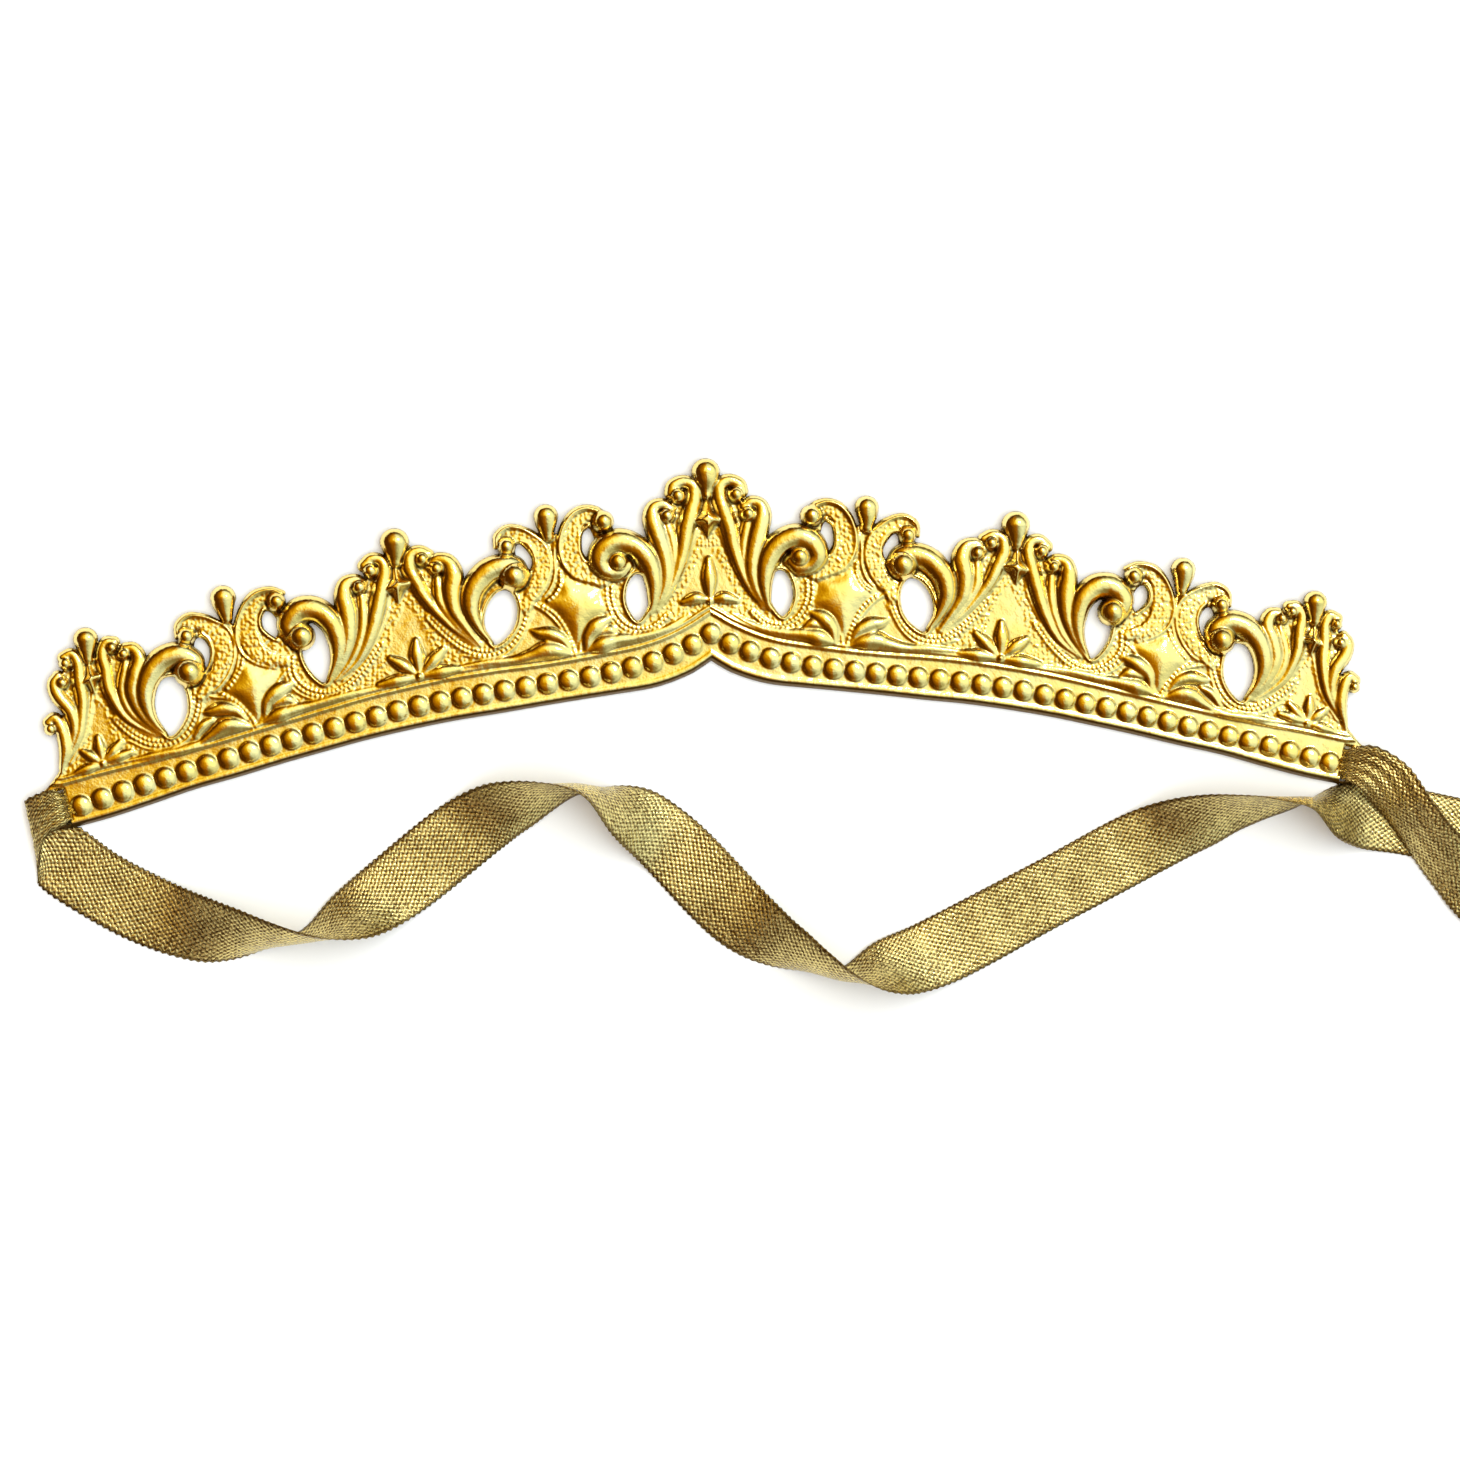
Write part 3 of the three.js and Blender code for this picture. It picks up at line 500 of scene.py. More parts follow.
# how each kind of stroke is drawn: times wider, half width added, and its section
strokes = [
    (creaseLines, 1, 0, {"lift": 0.9, "shows": False}),
    (leaves, 1.3, 0, {"lift": 0.62, "sharp": 2, "rounding": 0.8, "shows": False}),
    (petals, 0.95, 0.5, {"lift": 0.7, "sharp": 2, "rounding": 0.6, "shows": False}),
    (stems, 1.3, 0, {"lift": 0.72}),
    (horns, 1.25, 0, {"lift": 0.8}),
    (armRidges, 1, 0, {"lift": 1.15}),
    (bulbs, 1.1, 0.2, {"lift": 0.85, "sharp": 2, "rounding": 0.6}),
]
balls = [
    (stemBalls + armBalls, 1.15, {"lift": 1.15}), (hornBalls, 1.33, {"lift": 1.08}),
    (knots, 1, {"lift": 1.1, "shows": False}),
]


def nearest(path, x, y):
    # distance from each place to the path, the path's other columns there, and the distance walked along it
    a, b = path[:-1, :2], path[1:, :2]
    run = b - a
    size = np.maximum((run**2).sum(1), 1e-9)
    t = np.clip(((x[..., None] - a[:, 0]) * run[:, 0] + (y[..., None] - a[:, 1]) * run[:, 1]) / size, 0, 1)
    dx = x[..., None] - a[:, 0] - t * run[:, 0]
    dy = y[..., None] - a[:, 1] - t * run[:, 1]
    best = (dx**2 + dy**2).argmin(-1)[..., None]
    t, dx, dy = (np.take_along_axis(q, best, -1)[..., 0] for q in (t, dx, dy))
    best = best[..., 0]
    away = np.sqrt(dx**2 + dy**2)
    side = np.where(run[best, 0] * dy - run[best, 1] * dx > 0, away, -away)
    walked = np.concatenate([[0], np.cumsum(np.sqrt(size))])
    rest = path[best, 2:] * (1 - t[..., None]) + path[best + 1, 2:] * t[..., None]
    return away, rest, side, walked[best] + t * np.sqrt(size)[best]


def insideOf(loop, x, y):
    # even-odd rule
    inside = np.zeros(x.shape, bool)
    for (ax, ay), (bx, by) in zip(loop, np.roll(loop, -1, 0)):
        if ay != by:
            inside ^= ((ay > y) != (by > y)) & (x < (bx - ax) * (y - ay) / (by - ay) + ax)
    return inside


def teardrop(x, y, width, height, lean, grow=0.0):
    # an ellipse drawn in to a point at its foot, leaning by an angle
    turn = np.arange(48) / 48 * 2 * np.pi
    up = -np.cos(turn) * (height / 2 + grow)
    side = np.sin(turn) * ((1 - 0.4 * np.maximum(np.cos(turn), 0) ** 2) * width / 2 + grow)
    return np.stack([
        x + side * np.cos(lean) - up * np.sin(lean), y + side * np.sin(lean) + up * np.cos(lean),
    ], 1)


def flood(seed, room):
    # what the seed reaches through the room, sideways and up and down
    while True:
        grown = seed.copy()
        grown[1:] |= seed[:-1]
        grown[:-1] |= seed[1:]
        grown[:, 1:] |= seed[:, :-1]
        grown[:, :-1] |= seed[:, 1:]
        grown &= room
        if (grown == seed).all():
            return seed
        seed = grown


def blurred(z, passes):
    z = z.copy()
    for _ in range(passes):
        z[1:-1] = (z[:-2] + 2 * z[1:-1] + z[2:]) / 4
        z[:, 1:-1] = (z[:, :-2] + 2 * z[:, 1:-1] + z[:, 2:]) / 4
    return z


class Relief:
    # one half of the pattern as heights on a grid, with the distance to the cut edge (inside is negative)
    def __init__(self, low, high, cell, level):
        self.cell = cell
        self.low = np.array(low)
        columns = np.arange(int(round((high[0] - low[0]) / cell)) + 1) * cell + low[0]
        rows = np.arange(int(round((high[1] - low[1]) / cell)) + 1) * cell + low[1]
        self.x, self.y = np.meshgrid(columns, rows)
        self.z = np.full(self.x.shape, float(level))
        self.edge = np.full(self.x.shape, 50.0)
        self.dots = np.ones(self.x.shape)  # where the field is stippled
        self.level = level

    def window(self, path, reach):
        low = np.floor((path[:, :2].min(0) - reach - self.low) / self.cell).astype(int)
        high = np.ceil((path[:, :2].max(0) + reach - self.low) / self.cell).astype(int) + 1
        low = np.maximum(low, 0)
        return slice(low[1], max(high[1], 0)), slice(low[0], max(high[0], 0))

    def outline(self, loop):
        # signed distance to a closed outline, worked out close to it
        loop = np.asarray(loop, float)
        closed = np.vstack([loop, loop[:1]])
        away = np.full(self.x.shape, 50.0)
        for i in range(0, len(closed) - 1, 12):
            part = closed[i:i + 13]
            w = self.window(part, 4)
            if self.x[w].size:
                away[w] = np.minimum(away[w], nearest(part, self.x[w], self.y[w])[0])
        return np.where(insideOf(loop, self.x, self.y), -away, away)

    def raiseTo(self, w, height, where, dotted):
        wins = where & (height > self.z[w])
        self.z[w] = np.where(wins, height, self.z[w])
        self.dots[w] = np.where(wins, dotted, self.dots[w])

    def stroke(self, rows, lift=0.8, sharp=2.2, rounding=0.75, shows=True):
        # a raised stroke: height = lift * half width * (1 - (distance / half width)^sharp)^rounding
        path = spline(rows, 0.6) if len(rows) > 2 else np.asarray(rows, float)
        w = self.window(path, path[:, 2].max() + 1.5)
        if not self.x[w].size:
            return
        away, rest, _, _ = nearest(path, self.x[w], self.y[w])
        radius = np.maximum(rest[..., 0], 0.05)
        u = np.clip(away / radius, 0, 1)
        self.raiseTo(w, self.level + lift * radius * (1 - u**sharp) ** rounding, u < 1, 0)
        if shows:
            self.edge[w] = np.minimum(self.edge[w], away - 0.97 * radius)

    def ball(self, x, y, radius, lift=0.9, rounding=0.6, shows=True):
        self.stroke([(x, y, radius), (x + 0.01, y, radius)], lift, 2, rounding, shows=shows)

    def facet(self, loop, slope, top):
        # a closed outline that rises at a slope to a flat top
        loop = np.asarray(loop, float)
        w = self.window(loop, 0.5)
        away = nearest(np.vstack([loop, loop[:1]]), self.x[w], self.y[w])[0]
        self.raiseTo(w, self.level + np.minimum(away * slope, top), insideOf(loop, self.x[w], self.y[w]), 0)

    def cushion(self, loop, top, reach, passes):
        # a closed outline that swells to a dome: height = top * (1 - e^(-distance / reach)), then blurred
        loop = np.asarray(loop, float)
        w = self.window(loop, 2)
        x, y = self.x[w], self.y[w]
        inside = insideOf(loop, x, y)
        away = nearest(np.vstack([loop, loop[:1]]), x, y)[0]
        rise = blurred(np.where(inside, top * (1 - np.exp(-away / reach)), 0), passes)
        self.z[w] += rise
        self.dots[w] = np.where(inside, 0, self.dots[w])

    def smooth(self, loop):
        # no stippling inside a closed outline
        loop = np.asarray(loop, float)
        w = self.window(loop, 0.5)
        self.dots[w] = np.where(insideOf(loop, self.x[w], self.y[w]), 0, self.dots[w])

    def plate(self, rows, rise=0.4):
        # a flat raised band with soft sides, stippled all over
        path = spline(rows, 0.6)
        w = self.window(path, path[:, 2].max() + 1)
        away, rest, _, _ = nearest(path, self.x[w], self.y[w])
        inside = rest[..., 0] - away
        self.raiseTo(w, self.level + rise * np.clip(inside / 0.5, 0, 1), inside > 0, 1)
        self.edge[w] = np.minimum(self.edge[w], -inside)

    def beading(self, rows, radius=0.52):
        # rows of small beads side by side, staggered, as many rows as the strip's width holds
        path = spline(rows, 0.5)
        w = self.window(path, path[:, 2].max() + 0.6)
        away, rest, side, along = nearest(path, self.x[w], self.y[w])
        half = rest[..., 0]
        pitch = 2.1 * radius
        lines = np.maximum(1, np.round(2 * half.max() / pitch))
        line = np.clip(np.floor((side + half) / (2 * half) * lines), 0, lines - 1)
        centre = (line + 0.5) / lines * 2 * half - half
        step = np.mod(along / pitch + line * 0.5, 1) - 0.5
        u = np.clip(np.hypot(step * pitch, side - centre) / radius, 0, 1)
        inside = (away < half) & (along > 0.01)
        self.raiseTo(w, self.level + 0.04 + 0.75 * radius * (1 - u**2) ** 0.6, inside, 0)


def stipple(x, y, pitch, seed):
    # small round pimples on a square net whose places are shaken: 1 at a pimple's top, 0 between them
    rng = np.random.default_rng(seed)
    shake = rng.uniform(-0.3, 0.3, (64, 64, 2))
    size = rng.uniform(0.32, 0.46, (64, 64))
    u, v = x / pitch, y / pitch
    column, row = np.floor(u).astype(int), np.floor(v).astype(int)
    height = np.zeros(x.shape)
    for i in (-1, 0, 1):
        for j in (-1, 0, 1):
            place = ((row + j) % 64, (column + i) % 64)
            du = u - column - i - 0.5 - shake[place][..., 0]
            dv = v - row - j - 0.5 - shake[place][..., 1]
            height = np.maximum(height, np.clip(1 - (du**2 + dv**2) / size[place] ** 2, 0, 1) ** 0.6)
    return height


def makeRelief(v):
    r = Relief((0.0, -35.6), (156.3, 48.2), v["cell"], v["level"])
    lower = spline(lowerEdge, 1.0)
    loop = np.vstack([spline(upperEdge, 0.8), lower[::-1][1:]])
    mirrored = loop[::-1] * [-1, 1]
    r.edge = r.outline(np.vstack([loop, mirrored[1:-1]]))
    for hole in ovals + crescents:
        r.edge = np.maximum(r.edge, -r.outline(teardrop(*hole)))

    # the band: a double line above the beads, and a rolled rim below them
    band = spline(bandLine, 0.5)
    slope = np.gradient(band[:, 1], band[:, 0])
    tilt = np.cos(np.arctan(np.interp(r.x, band[:, 0], slope)))
    over = (r.y - np.interp(r.x, band[:, 0], band[:, 1])) * tilt
    r.dots = np.clip((over - 0.9) / 0.3, 0, 1)
    for offset in (-0.55, 0.55):
        u = np.clip(np.abs(over - offset) / v["bandLine"], 0, 1)
        r.z = np.maximum(r.z, r.level + v["bandHeight"] * (1 - u**2) ** 0.8)
    slope = np.gradient(lower[:, 1], np.maximum.accumulate(lower[:, 0] + np.arange(len(lower)) * 1e-6))
    tilt = np.cos(np.arctan(np.interp(r.x, lower[:, 0], slope)))
    fromFoot = (r.y - np.interp(r.x, lower[:, 0], lower[:, 1])) * tilt
    u = np.clip(np.abs(fromFoot - v["rimDrop"] - 0.7) / 0.75, 0, 1)
    r.z = np.maximum(r.z, r.level + v["rimHeight"] * (1 - u**2) ** 0.7)

    for points in arms:
        r.plate(points)
    for loop in smoothFields:
        r.smooth(loop)
    for points in beadStrips:
        r.beading(points)
    for loop in shields:
        r.cushion(loop, v["swell"], v["swellReach"], v["swellBlur"])
    for hole in ovals:
        ring = teardrop(*hole, grow=0.5)
        r.stroke(np.hstack([np.vstack([ring, ring[:1]]), np.full((49, 1), 0.6)]), lift=0.9, shows=False)
    for kind, wider, more, section in strokes:
        for points in kind:
            r.stroke(np.array(points) * [1, 1, wider] + [0, 0, more], **section)
    for loop in stars:
        middle = np.mean(loop, 0)
        r.facet(middle + (np.array(loop) - middle) * v["starGrow"], v["starSlope"], v["starTop"])
    for kind, wider, section in balls:
        for x, y, radius in kind:
            r.ball(x, y, radius * wider, **section)
    path = spline(beadLine, 0.5)
    walk = np.concatenate([[0], np.cumsum(np.linalg.norm(np.diff(path, axis=0), axis=1))])
    at = np.linspace(0, walk[-1], v["beads"] + 1)
    for x, y in zip(np.interp(at, walk, path[:, 0]), np.interp(at, walk, path[:, 1])):
        r.ball(x, y, v["beadRadius"], v["beadLift"], 0.6, False)

    # gaps inside the curls are closed; only the ovals and crescents are open
    gap = r.edge > 0
    outside = np.zeros(gap.shape, bool)
    outside[0] = gap[0]
    outside[-1] = gap[-1]
    outside[:, -1] = gap[:, -1]
    for x, y, *_ in ovals + crescents:
        outside |= gap & (np.hypot(r.x - x, r.y - y) < 0.8)
    r.edge = np.where(gap & ~flood(outside, gap), -1.0, r.edge)
    lean = slot["lean"]
    along = (r.x - slot["x"]) * np.sin(lean) + (r.y - slot["y"]) * np.cos(lean)
    across = (r.x - slot["x"]) * np.cos(lean) - (r.y - slot["y"]) * np.sin(lean)
    cut = np.maximum(np.abs(along) - slot["length"] / 2, np.abs(across) - slot["width"] / 2)
    r.edge = np.maximum(r.edge, -cut)

    r.z += v["grainHeight"] * r.dots * stipple(r.x, r.y, v["grain"], 5)
    r.z = blurred(r.z, 1)
    turned = np.clip(1 + r.edge / v["lipWidth"], 0, 1)
    drop = 0.35 + 0.28 * (r.z - v["level"])  # the higher the edge, the further it turns down
    lowered = r.z - drop * v["lip"] * turned**2 * 2
    r.z = np.where(fromFoot > v["rimDrop"] + 1, lowered, r.z)
    share = np.clip(fromFoot / v["rimDrop"], 0, 1)
    r.z = v["rimFoot"] + (r.z - v["rimFoot"]) * np.sin(share * np.pi / 2)
    # how far each place lies below the average round it, and the shaded rim: the mask of the painted shade in
    # the hollows and on the turned-down rim
    r.hollow = np.clip((blurred(r.z, v["hollowBlur"]) - r.z) / v["hollowDepth"], -1, 1)
    r.hollow = np.maximum(r.hollow, np.clip((v["rimDrop"] + 0.5 - fromFoot) / 0.3, 0, 1))
    return r


def buckling(x, y, height):
    # a sum of long, low sine waves, each in its own direction
    rng = np.random.default_rng(12)
    total = np.zeros(x.shape)
    for size, turn, start in rng.uniform((9, 0, 0), (42, np.pi, 6.28), (9, 3)):
        total += size * np.sin((x * np.cos(turn) + y * np.sin(turn)) * 2 * np.pi / size + start)
    return total * height / 60


def sheetPiece(name, r, v, side, low, high):
    # the grid's columns from low to high as one closed shell: front, back and the walls along its edges
    first, last = int(round(low / v["cell"])), int(round(high / v["cell"]))
    cols = slice(first, min(last, r.x.shape[1] - 1) + 1)
    wide = r.edge < 0.3 * v["cell"]
    edgeY, edgeX = np.gradient(r.edge, v["cell"])
    steep = np.maximum(np.hypot(edgeX, edgeY), 0.3)
    inner = wide.copy()
    inner[1:-1, 1:-1] = (
        wide[:-2, 1:-1] & wide[2:, 1:-1] & wide[1:-1, :-2] & wide[1:-1, 2:] & wide[:-2, :-2] & wide[2:, 2:]
        & wide[:-2, 2:] & wide[2:, :-2]
    )
    move = np.where(inner, 0, np.clip(r.edge, -1.2 * v["cell"], 0.3 * v["cell"])) / steep
    x = r.x - np.where(r.x < v["cell"] / 2, 0, move * edgeX / steep)
    y = r.y - move * edgeY / steep
    z = r.z + buckling(r.x * side, r.y, v["wave"])
    slopeY, slopeX = np.gradient(z, v["cell"])
    x, y, z, wide, slopeX, slopeY, hollow = (
        q[:, cols] for q in (x, y, z, wide, slopeX, slopeY, r.hollow)
    )
    corner = [wide[:-1, :-1], wide[:-1, 1:], wide[1:, 1:], wide[1:, :-1]]
    count = sum(c.astype(int) for c in corner)
    index = np.arange(x.size).reshape(x.shape)
    names = np.stack([index[:-1, :-1], index[:-1, 1:], index[1:, 1:], index[1:, :-1]], -1)
    quads = names[count == 4]
    three = count == 3
    held = np.stack(corner, -1)[three]
    triangles = names[three][held].reshape(-1, 3)
    if side < 0:
        quads, triangles = quads[:, ::-1], triangles[:, ::-1]
    # an edge that only one face uses is where a wall stands
    edges = np.vstack([
        np.stack([f[:, i], f[:, (i + 1) % f.shape[1]]], 1)
        for f in (quads, triangles) for i in range(f.shape[1])
    ])
    key = edges.min(1).astype(np.int64) * x.size + edges.max(1)
    _, where, times = np.unique(key, return_index=True, return_counts=True)
    border = edges[where[times == 1]]
    used = np.unique(np.concatenate([quads.ravel(), triangles.ravel()]))
    renumber = np.zeros(x.size, np.int64)
    renumber[used] = np.arange(len(used))
    quads, triangles, border = renumber[quads], renumber[triangles], renumber[border]
    front = np.stack([x.ravel() * side, y.ravel(), z.ravel()], 1)[used]
    normal = np.stack([-slopeX.ravel() * side, -slopeY.ravel(), np.ones(x.size)], 1)[used]
    normal /= np.linalg.norm(normal, axis=1)[:, None]
    back = front - [0, 0, 1] * np.minimum(v["sheet"] / np.maximum(normal[:, 2:], 0.45), 0.7)
    back[:, 2] = np.maximum(back[:, 2], v["clear"])
    total = len(used)
    wall = np.stack([border[:, 1], border[:, 0], border[:, 0] + total, border[:, 1] + total], 1)
    allQuads = np.vstack([quads, quads[:, ::-1] + total, wall])
    allTriangles = np.vstack([triangles, triangles[:, ::-1] + total])
    points = np.vstack([front, back]) - [0, foot / mm, 0]
    obj = addMesh(name, points * mm, allQuads, allTriangles)
    # shading follows the pattern's own slopes, so nothing shows where two pieces meet
    along = front[border[:, 1]] - front[border[:, 0]]
    out = np.stack([along[:, 1], -along[:, 0], np.zeros(len(along))], 1)
    out /= np.maximum(np.linalg.norm(out, axis=1), 1e-9)[:, None]
    normals = np.vstack([
        normal[quads].reshape(-1, 3), -normal[quads[:, ::-1]].reshape(-1, 3), np.repeat(out, 4, 0),
        normal[triangles].reshape(-1, 3), -normal[triangles[:, ::-1]].reshape(-1, 3),
    ])
    if len(normals) == len(obj.data.loops):
        obj.data.normals_split_custom_set(normals.astype(np.float32))
    # the painted shade of the hollows and the turned-down rim, kept on the points for the foil's colour
    paintedShade = obj.data.attributes.new("paintedShade", "FLOAT", "POINT")
    paintedShade.data.foreach_set("value", np.tile(hollow.ravel()[used], 2).astype(np.float32))
    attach(obj, "root")
    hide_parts("crown_sheet")
    print(name, len(allQuads) * 2 + len(allTriangles), "triangles")
    return obj


relief = makeRelief(crown)
print("pattern worked out")
foilPieces = [
    sheetPiece(name, relief, crown, side, low, high)
    for name, side, low, high in (
        ("crown_right_inner", 1, 0, crown["split"]), ("crown_right_outer", 1, crown["split"], 160),
        ("crown_left_inner", -1, 0, crown["split"]), ("crown_left_outer", -1, crown["split"], 160),
    )
]


class Wire:
    # a number that travels between nodes; arithmetic on it adds Math nodes
    def __init__(self, maker, socket):
        self.maker = maker
        self.socket = socket

    def math(self, operation, a, b=0.0):
        return self.maker.node("ShaderNodeMath", {"operation": operation}, {0: a, 1: b})

    def __add__(self, other):
        return self.math("ADD", self, other)

    __radd__ = __add__

    def __sub__(self, other):
        return self.math("SUBTRACT", self, other)

    def __rsub__(self, other):
        return self.math("SUBTRACT", other, self)

    def __mul__(self, other):
        return self.math("MULTIPLY", self, other)

    __rmul__ = __mul__

    def clamped(self, low=0.0, high=1.0):
        return self.math("MINIMUM", self.math("MAXIMUM", self, low), high)

    def sine(self):
        return self.math("SINE", self)

    def size(self):
        return self.math("ABSOLUTE", self)


class Maker:
    # fills the node tree of a material or a world
    def __init__(self, owner):
        owner.use_nodes = True
        self.owner = owner
        self.tree = owner.node_tree
        self.tree.nodes.clear()

    def node(self, kind, settings=None, sockets=None, out=0):
        made = self.tree.nodes.new(kind)
        for key, value in (settings or {}).items():
            if key == "stops":
                for i, (place, color) in enumerate(value):
                    stop = made.color_ramp.elements[i] if i < 2 else made.color_ramp.elements.new(place)
                    stop.position = place
                    stop.color = color
            else:
                setattr(made, key, value)
        for key, value in (sockets or {}).items():
            if isinstance(value, Wire):
                self.tree.links.new(value.socket, made.inputs[key])
            else:
                made.inputs[key].default_value = value
        return Wire(self, made.outputs[out]) if len(made.outputs) else None

    def mixed(self, factor, a, b):
        # colours: the Mix node's colour sockets are its sixth and seventh
        return self.node("ShaderNodeMix", {"data_type": "RGBA"}, {0: factor, 6: a, 7: b}, 2)

    def noise(self, place, scale, detail=2.0, flat=False):
        kind = {"noise_dimensions": "2D"} if flat else None
        return self.node("ShaderNodeTexNoise", kind, {"Vector": place, "Scale": scale, "Detail": detail})

    def bump(self, strength, distance, height, **normal):
        sockets = {"Strength": strength, "Distance": distance, "Height": height, **normal}
        return self.node("ShaderNodeBump", None, sockets)

    def split(self, vector):
        x = self.node("ShaderNodeSeparateXYZ", None, {0: vector})
        return [Wire(self, output) for output in x.socket.node.outputs]

    def finish(self, **sockets):
        named = {key.replace("_", " "): value for key, value in sockets.items()}
        shader = self.node("ShaderNodeBsdfPrincipled", None, named)
        self.node("ShaderNodeOutputMaterial", None, {"Surface": shader})
        return self.owner


foil = {
    "bright": (0.99, 0.83, 0.36, 1),
    "deep": (0.94, 0.70, 0.19, 1),
    # dark colour of the painted shade in the hollows and on the turned-down rim
    "paintedShade": (0.06, 0.02, 0.002, 1),
    "roughness": 0.13,
    "clouds": 90.0,      # noise scales, in one over metres
    "dents": 420.0,
    "grain": 2600.0,
    "dentBump": (0.25, 0.0006),   # strength and distance
    "grainBump": (0.12, 0.0002),
}


def foilMaterial(v):
    m = Maker(bpy.data.materials.new("gold_foil"))
    place = m.node("ShaderNodeTexCoord", None, None, 3)
    cloud = m.noise(place, v["clouds"], 3.0)
    grain = m.noise(place, v["grain"])
    dents = m.noise(place, v["dents"], 3.0)
    # the point attribute read here is the painted shade's mask: the hollows below their surroundings and the
    # turned-down rim
    paintedShade = m.node("ShaderNodeAttribute", {"attribute_name": "paintedShade"}, None, 2)
    base = m.mixed(((cloud - 0.35) * 2.2).clamped(), v["deep"], v["bright"])
    # dark: the painted shade, plus random dark spots from the dents noise; it mixes the colour towards the
    # painted shade's dark colour
    dark = (paintedShade * 1.4 - 0.12 + (dents - 0.5) * 0.5).clamped() * 0.93
    color = m.mixed(dark, base, v["paintedShade"])
    rough = v["roughness"] + (grain - 0.5) * 0.16 + (dents - 0.5) * 0.12 + dark * 0.2
    bump = m.bump(*v["dentBump"], dents)
    fine = m.bump(*v["grainBump"], grain, Normal=bump)
    return m.finish(Base_Color=color, Metallic=1.0, Roughness=rough.clamped(0.06, 0.6), Normal=fine)


lame = {
    "light": (1.0, 0.83, 0.33, 1),
    "dark": (0.13, 0.07, 0.012, 1),
    "thread": 1.6,       # length of one float of the weave along the tie, in millimetres
    "pitch": 1.15,       # distance between threads across it
    "glints": 2.4,       # sparkling spots in a millimetre: painted glints in the colour, and changes in roughness and bump
    "wander": 0.9,       # noise scales, in one over millimetres
    "clouds": 0.12,
    "selvedge": 7.15,    # where the darker edge starts, from the middle
    "roughness": 0.27,
    "metallic": 0.88,
    "bump": (0.9, 0.00022),
}


def lameMaterial(v):
    m = Maker(bpy.data.materials.new("gold_ribbon"))
    uv = m.node("ShaderNodeUVMap", {"uv_map": "weave"})
    across, along, _ = m.split(uv)
    twist = m.noise(uv, v["wander"], flat=True)
    u = (across + (twist - 0.5) * 0.35) * (2 * np.pi / v["pitch"])
    w = (along + (twist - 0.5) * 0.35) * (2 * np.pi / v["thread"])
    weave = (u.sine() * w.sine() + 1) * 0.5
    cells = {"Vector": uv, "Scale": v["glints"]}
    glint = m.node("ShaderNodeTexVoronoi", {"voronoi_dimensions": "2D"}, cells, 1)
    spark = m.split(glint)[0]
    cloud = m.noise(uv, v["clouds"], flat=True)
    selvedge = ((across.size() - v["selvedge"] + twist * 0.3) * 2.6).clamped()
    # the glint cells lighten the colour here: painted glints
    shade = (weave * 1.05 + (spark - 0.5) * 0.6 + (cloud - 0.5) * 0.5 - 0.05).clamped()
    color = m.mixed(shade * (1 - selvedge * 0.8), v["dark"], v["light"])
    height = weave * 0.7 + spark * 0.5
    bump = m.bump(*v["bump"], height)
    rough = v["roughness"] + (spark - 0.5) * 0.3
    return m.finish(Base_Color=color, Metallic=v["metallic"], Roughness=rough.clamped(0.15, 0.7), Normal=bump)


gold = foilMaterial(foil)
for piece in foilPieces:
    piece.data.materials.append(gold)
woven = lameMaterial(lame)
for piece in (leftRibbon, rightRibbon):
    piece.data.materials.append(woven)
print("materials made")

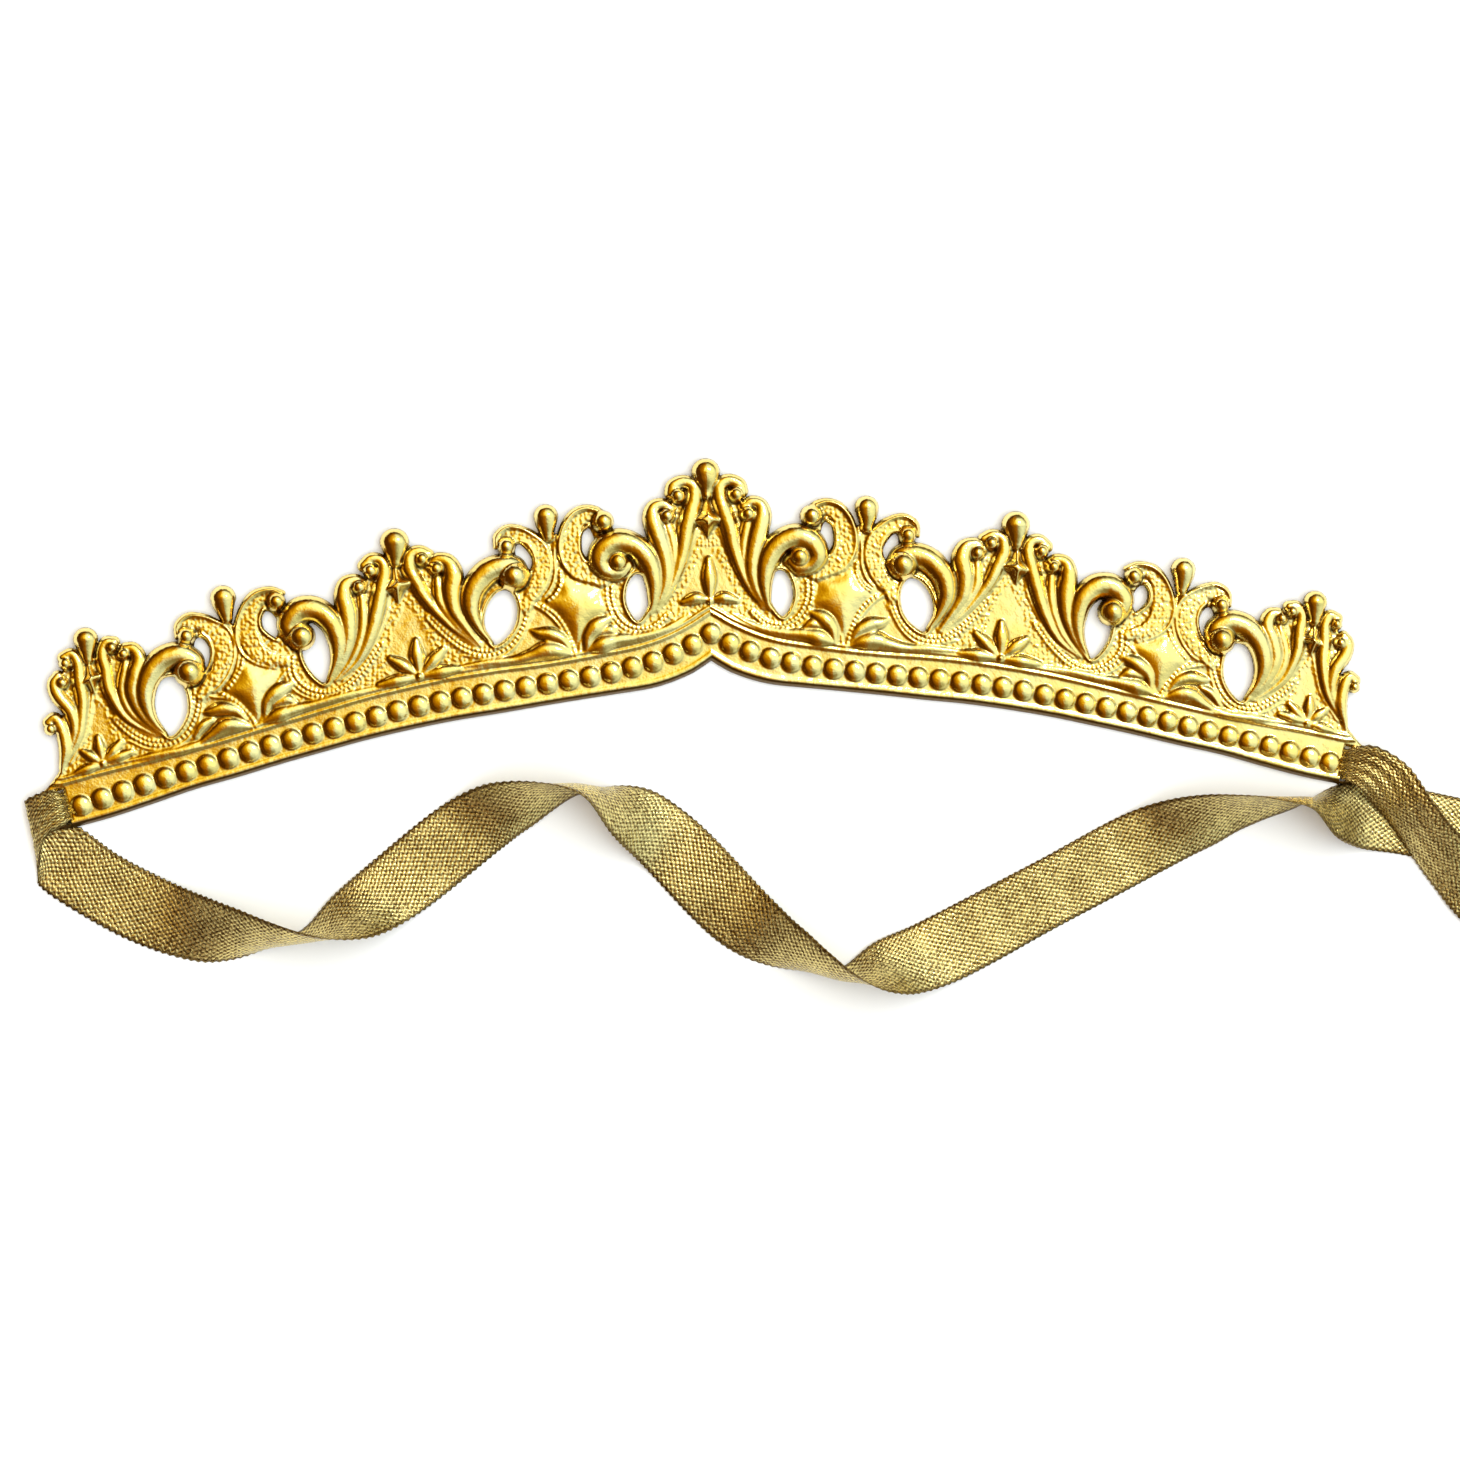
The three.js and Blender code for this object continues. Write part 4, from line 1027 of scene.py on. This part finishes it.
studio = {
    "floor": (0.94, 0.94, 0.94, 1),
    "floorSize": 5.0,
    "strength": 1.5,
    # each lamp's place, width, power and colour; the last only whitens the floor and softens its shadows
    "key": ((0.5, 0.5, 1.0), 0.3, 12, (1, 0.99, 0.96)),
    "low": ((0.7, -0.9, 0.7), 0.3, 6, (1, 0.99, 0.96)),
    "wide": ((0, 0, 1.7), 3, 44, (0.88, 0.95, 1)),
    # colours of the room from its dark low side to its bright high one, at the left and at the right
    "left": [(0.0, (0.05, 0.016, 0.0, 1)), (0.3, (0.25, 0.10, 0.0, 1)), (0.5, (0.45, 0.25, 0.0, 1)),
             (0.62, (0.73, 0.54, 0.05, 1)), (0.72, (1.0, 1.0, 0.7, 1))],
    "right": [(0.0, (0.05, 0.03, 0.004, 1)), (0.3, (0.19, 0.18, 0.12, 1)), (0.5, (0.56, 0.68, 0.8, 1)),
              (0.62, (0.82, 0.94, 1.0, 1)), (0.72, (1.0, 1.0, 1.0, 1))],
}


def makeStudio(v):
    m = Maker(bpy.data.materials.new("floor"))
    speck = m.noise(m.node("ShaderNodeTexCoord", None, None, 3), 30.0)
    paper = m.finish(Base_Color=v["floor"], Roughness=(0.75 + speck * 0.1).clamped(), Specular_IOR_Level=0.2)
    corners = np.array([(-1, -1, 0), (1, -1, 0), (1, 1, 0), (-1, 1, 0)]) * v["floorSize"] / 2
    floor = addMesh("floor", corners, [(0, 1, 2, 3)])
    floor.data.materials.append(paper)

    sky = Maker(bpy.data.worlds.new("studio"))
    bpy.context.scene.world = sky.owner
    x, y, z = sky.split(sky.node("ShaderNodeTexCoord"))
    # the room is warm to the left and plain to the right; it is brighter high up and to the right, and
    # behind the crown high up but in front of it low down
    toRight = (x * 4.5 + 0.2).clamped()
    high = (z * 0.6 + x * 0.38 + y * (z - 0.35) * 0.85 - 0.03).clamped()
    left, right = (sky.node("ShaderNodeValToRGB", {"stops": v[k]}, {"Fac": high}) for k in ("left", "right"))
    color = sky.mixed(toRight, left, right)
    background = sky.node("ShaderNodeBackground", None, {"Color": color, "Strength": v["strength"]})
    sky.node("ShaderNodeOutputWorld", None, {"Surface": background})

    for name in ("key", "low", "wide"):
        place, size, power, color = v[name]
        data = bpy.data.lights.new(name, "AREA")
        data.shape = "RECTANGLE"
        data.size = data.size_y = size
        data.energy = power
        data.color = color
        lamp = bpy.data.objects.new(name, data)
        lamp.location = place
        aim = np.array([0.0, 0.0, 0.0]) - place  # at the crown
        lamp.rotation_euler = (np.arctan2(np.hypot(aim[0], aim[1]), -aim[2]), 0, np.arctan2(aim[0], -aim[1]))
        bpy.context.scene.collection.objects.link(lamp)
        if name == "wide":
            lamp.visible_glossy = False
        else:
            lamp.visible_diffuse = False
    bpy.context.scene.view_settings.view_transform = "Standard"


makeStudio(studio)
print("studio made")
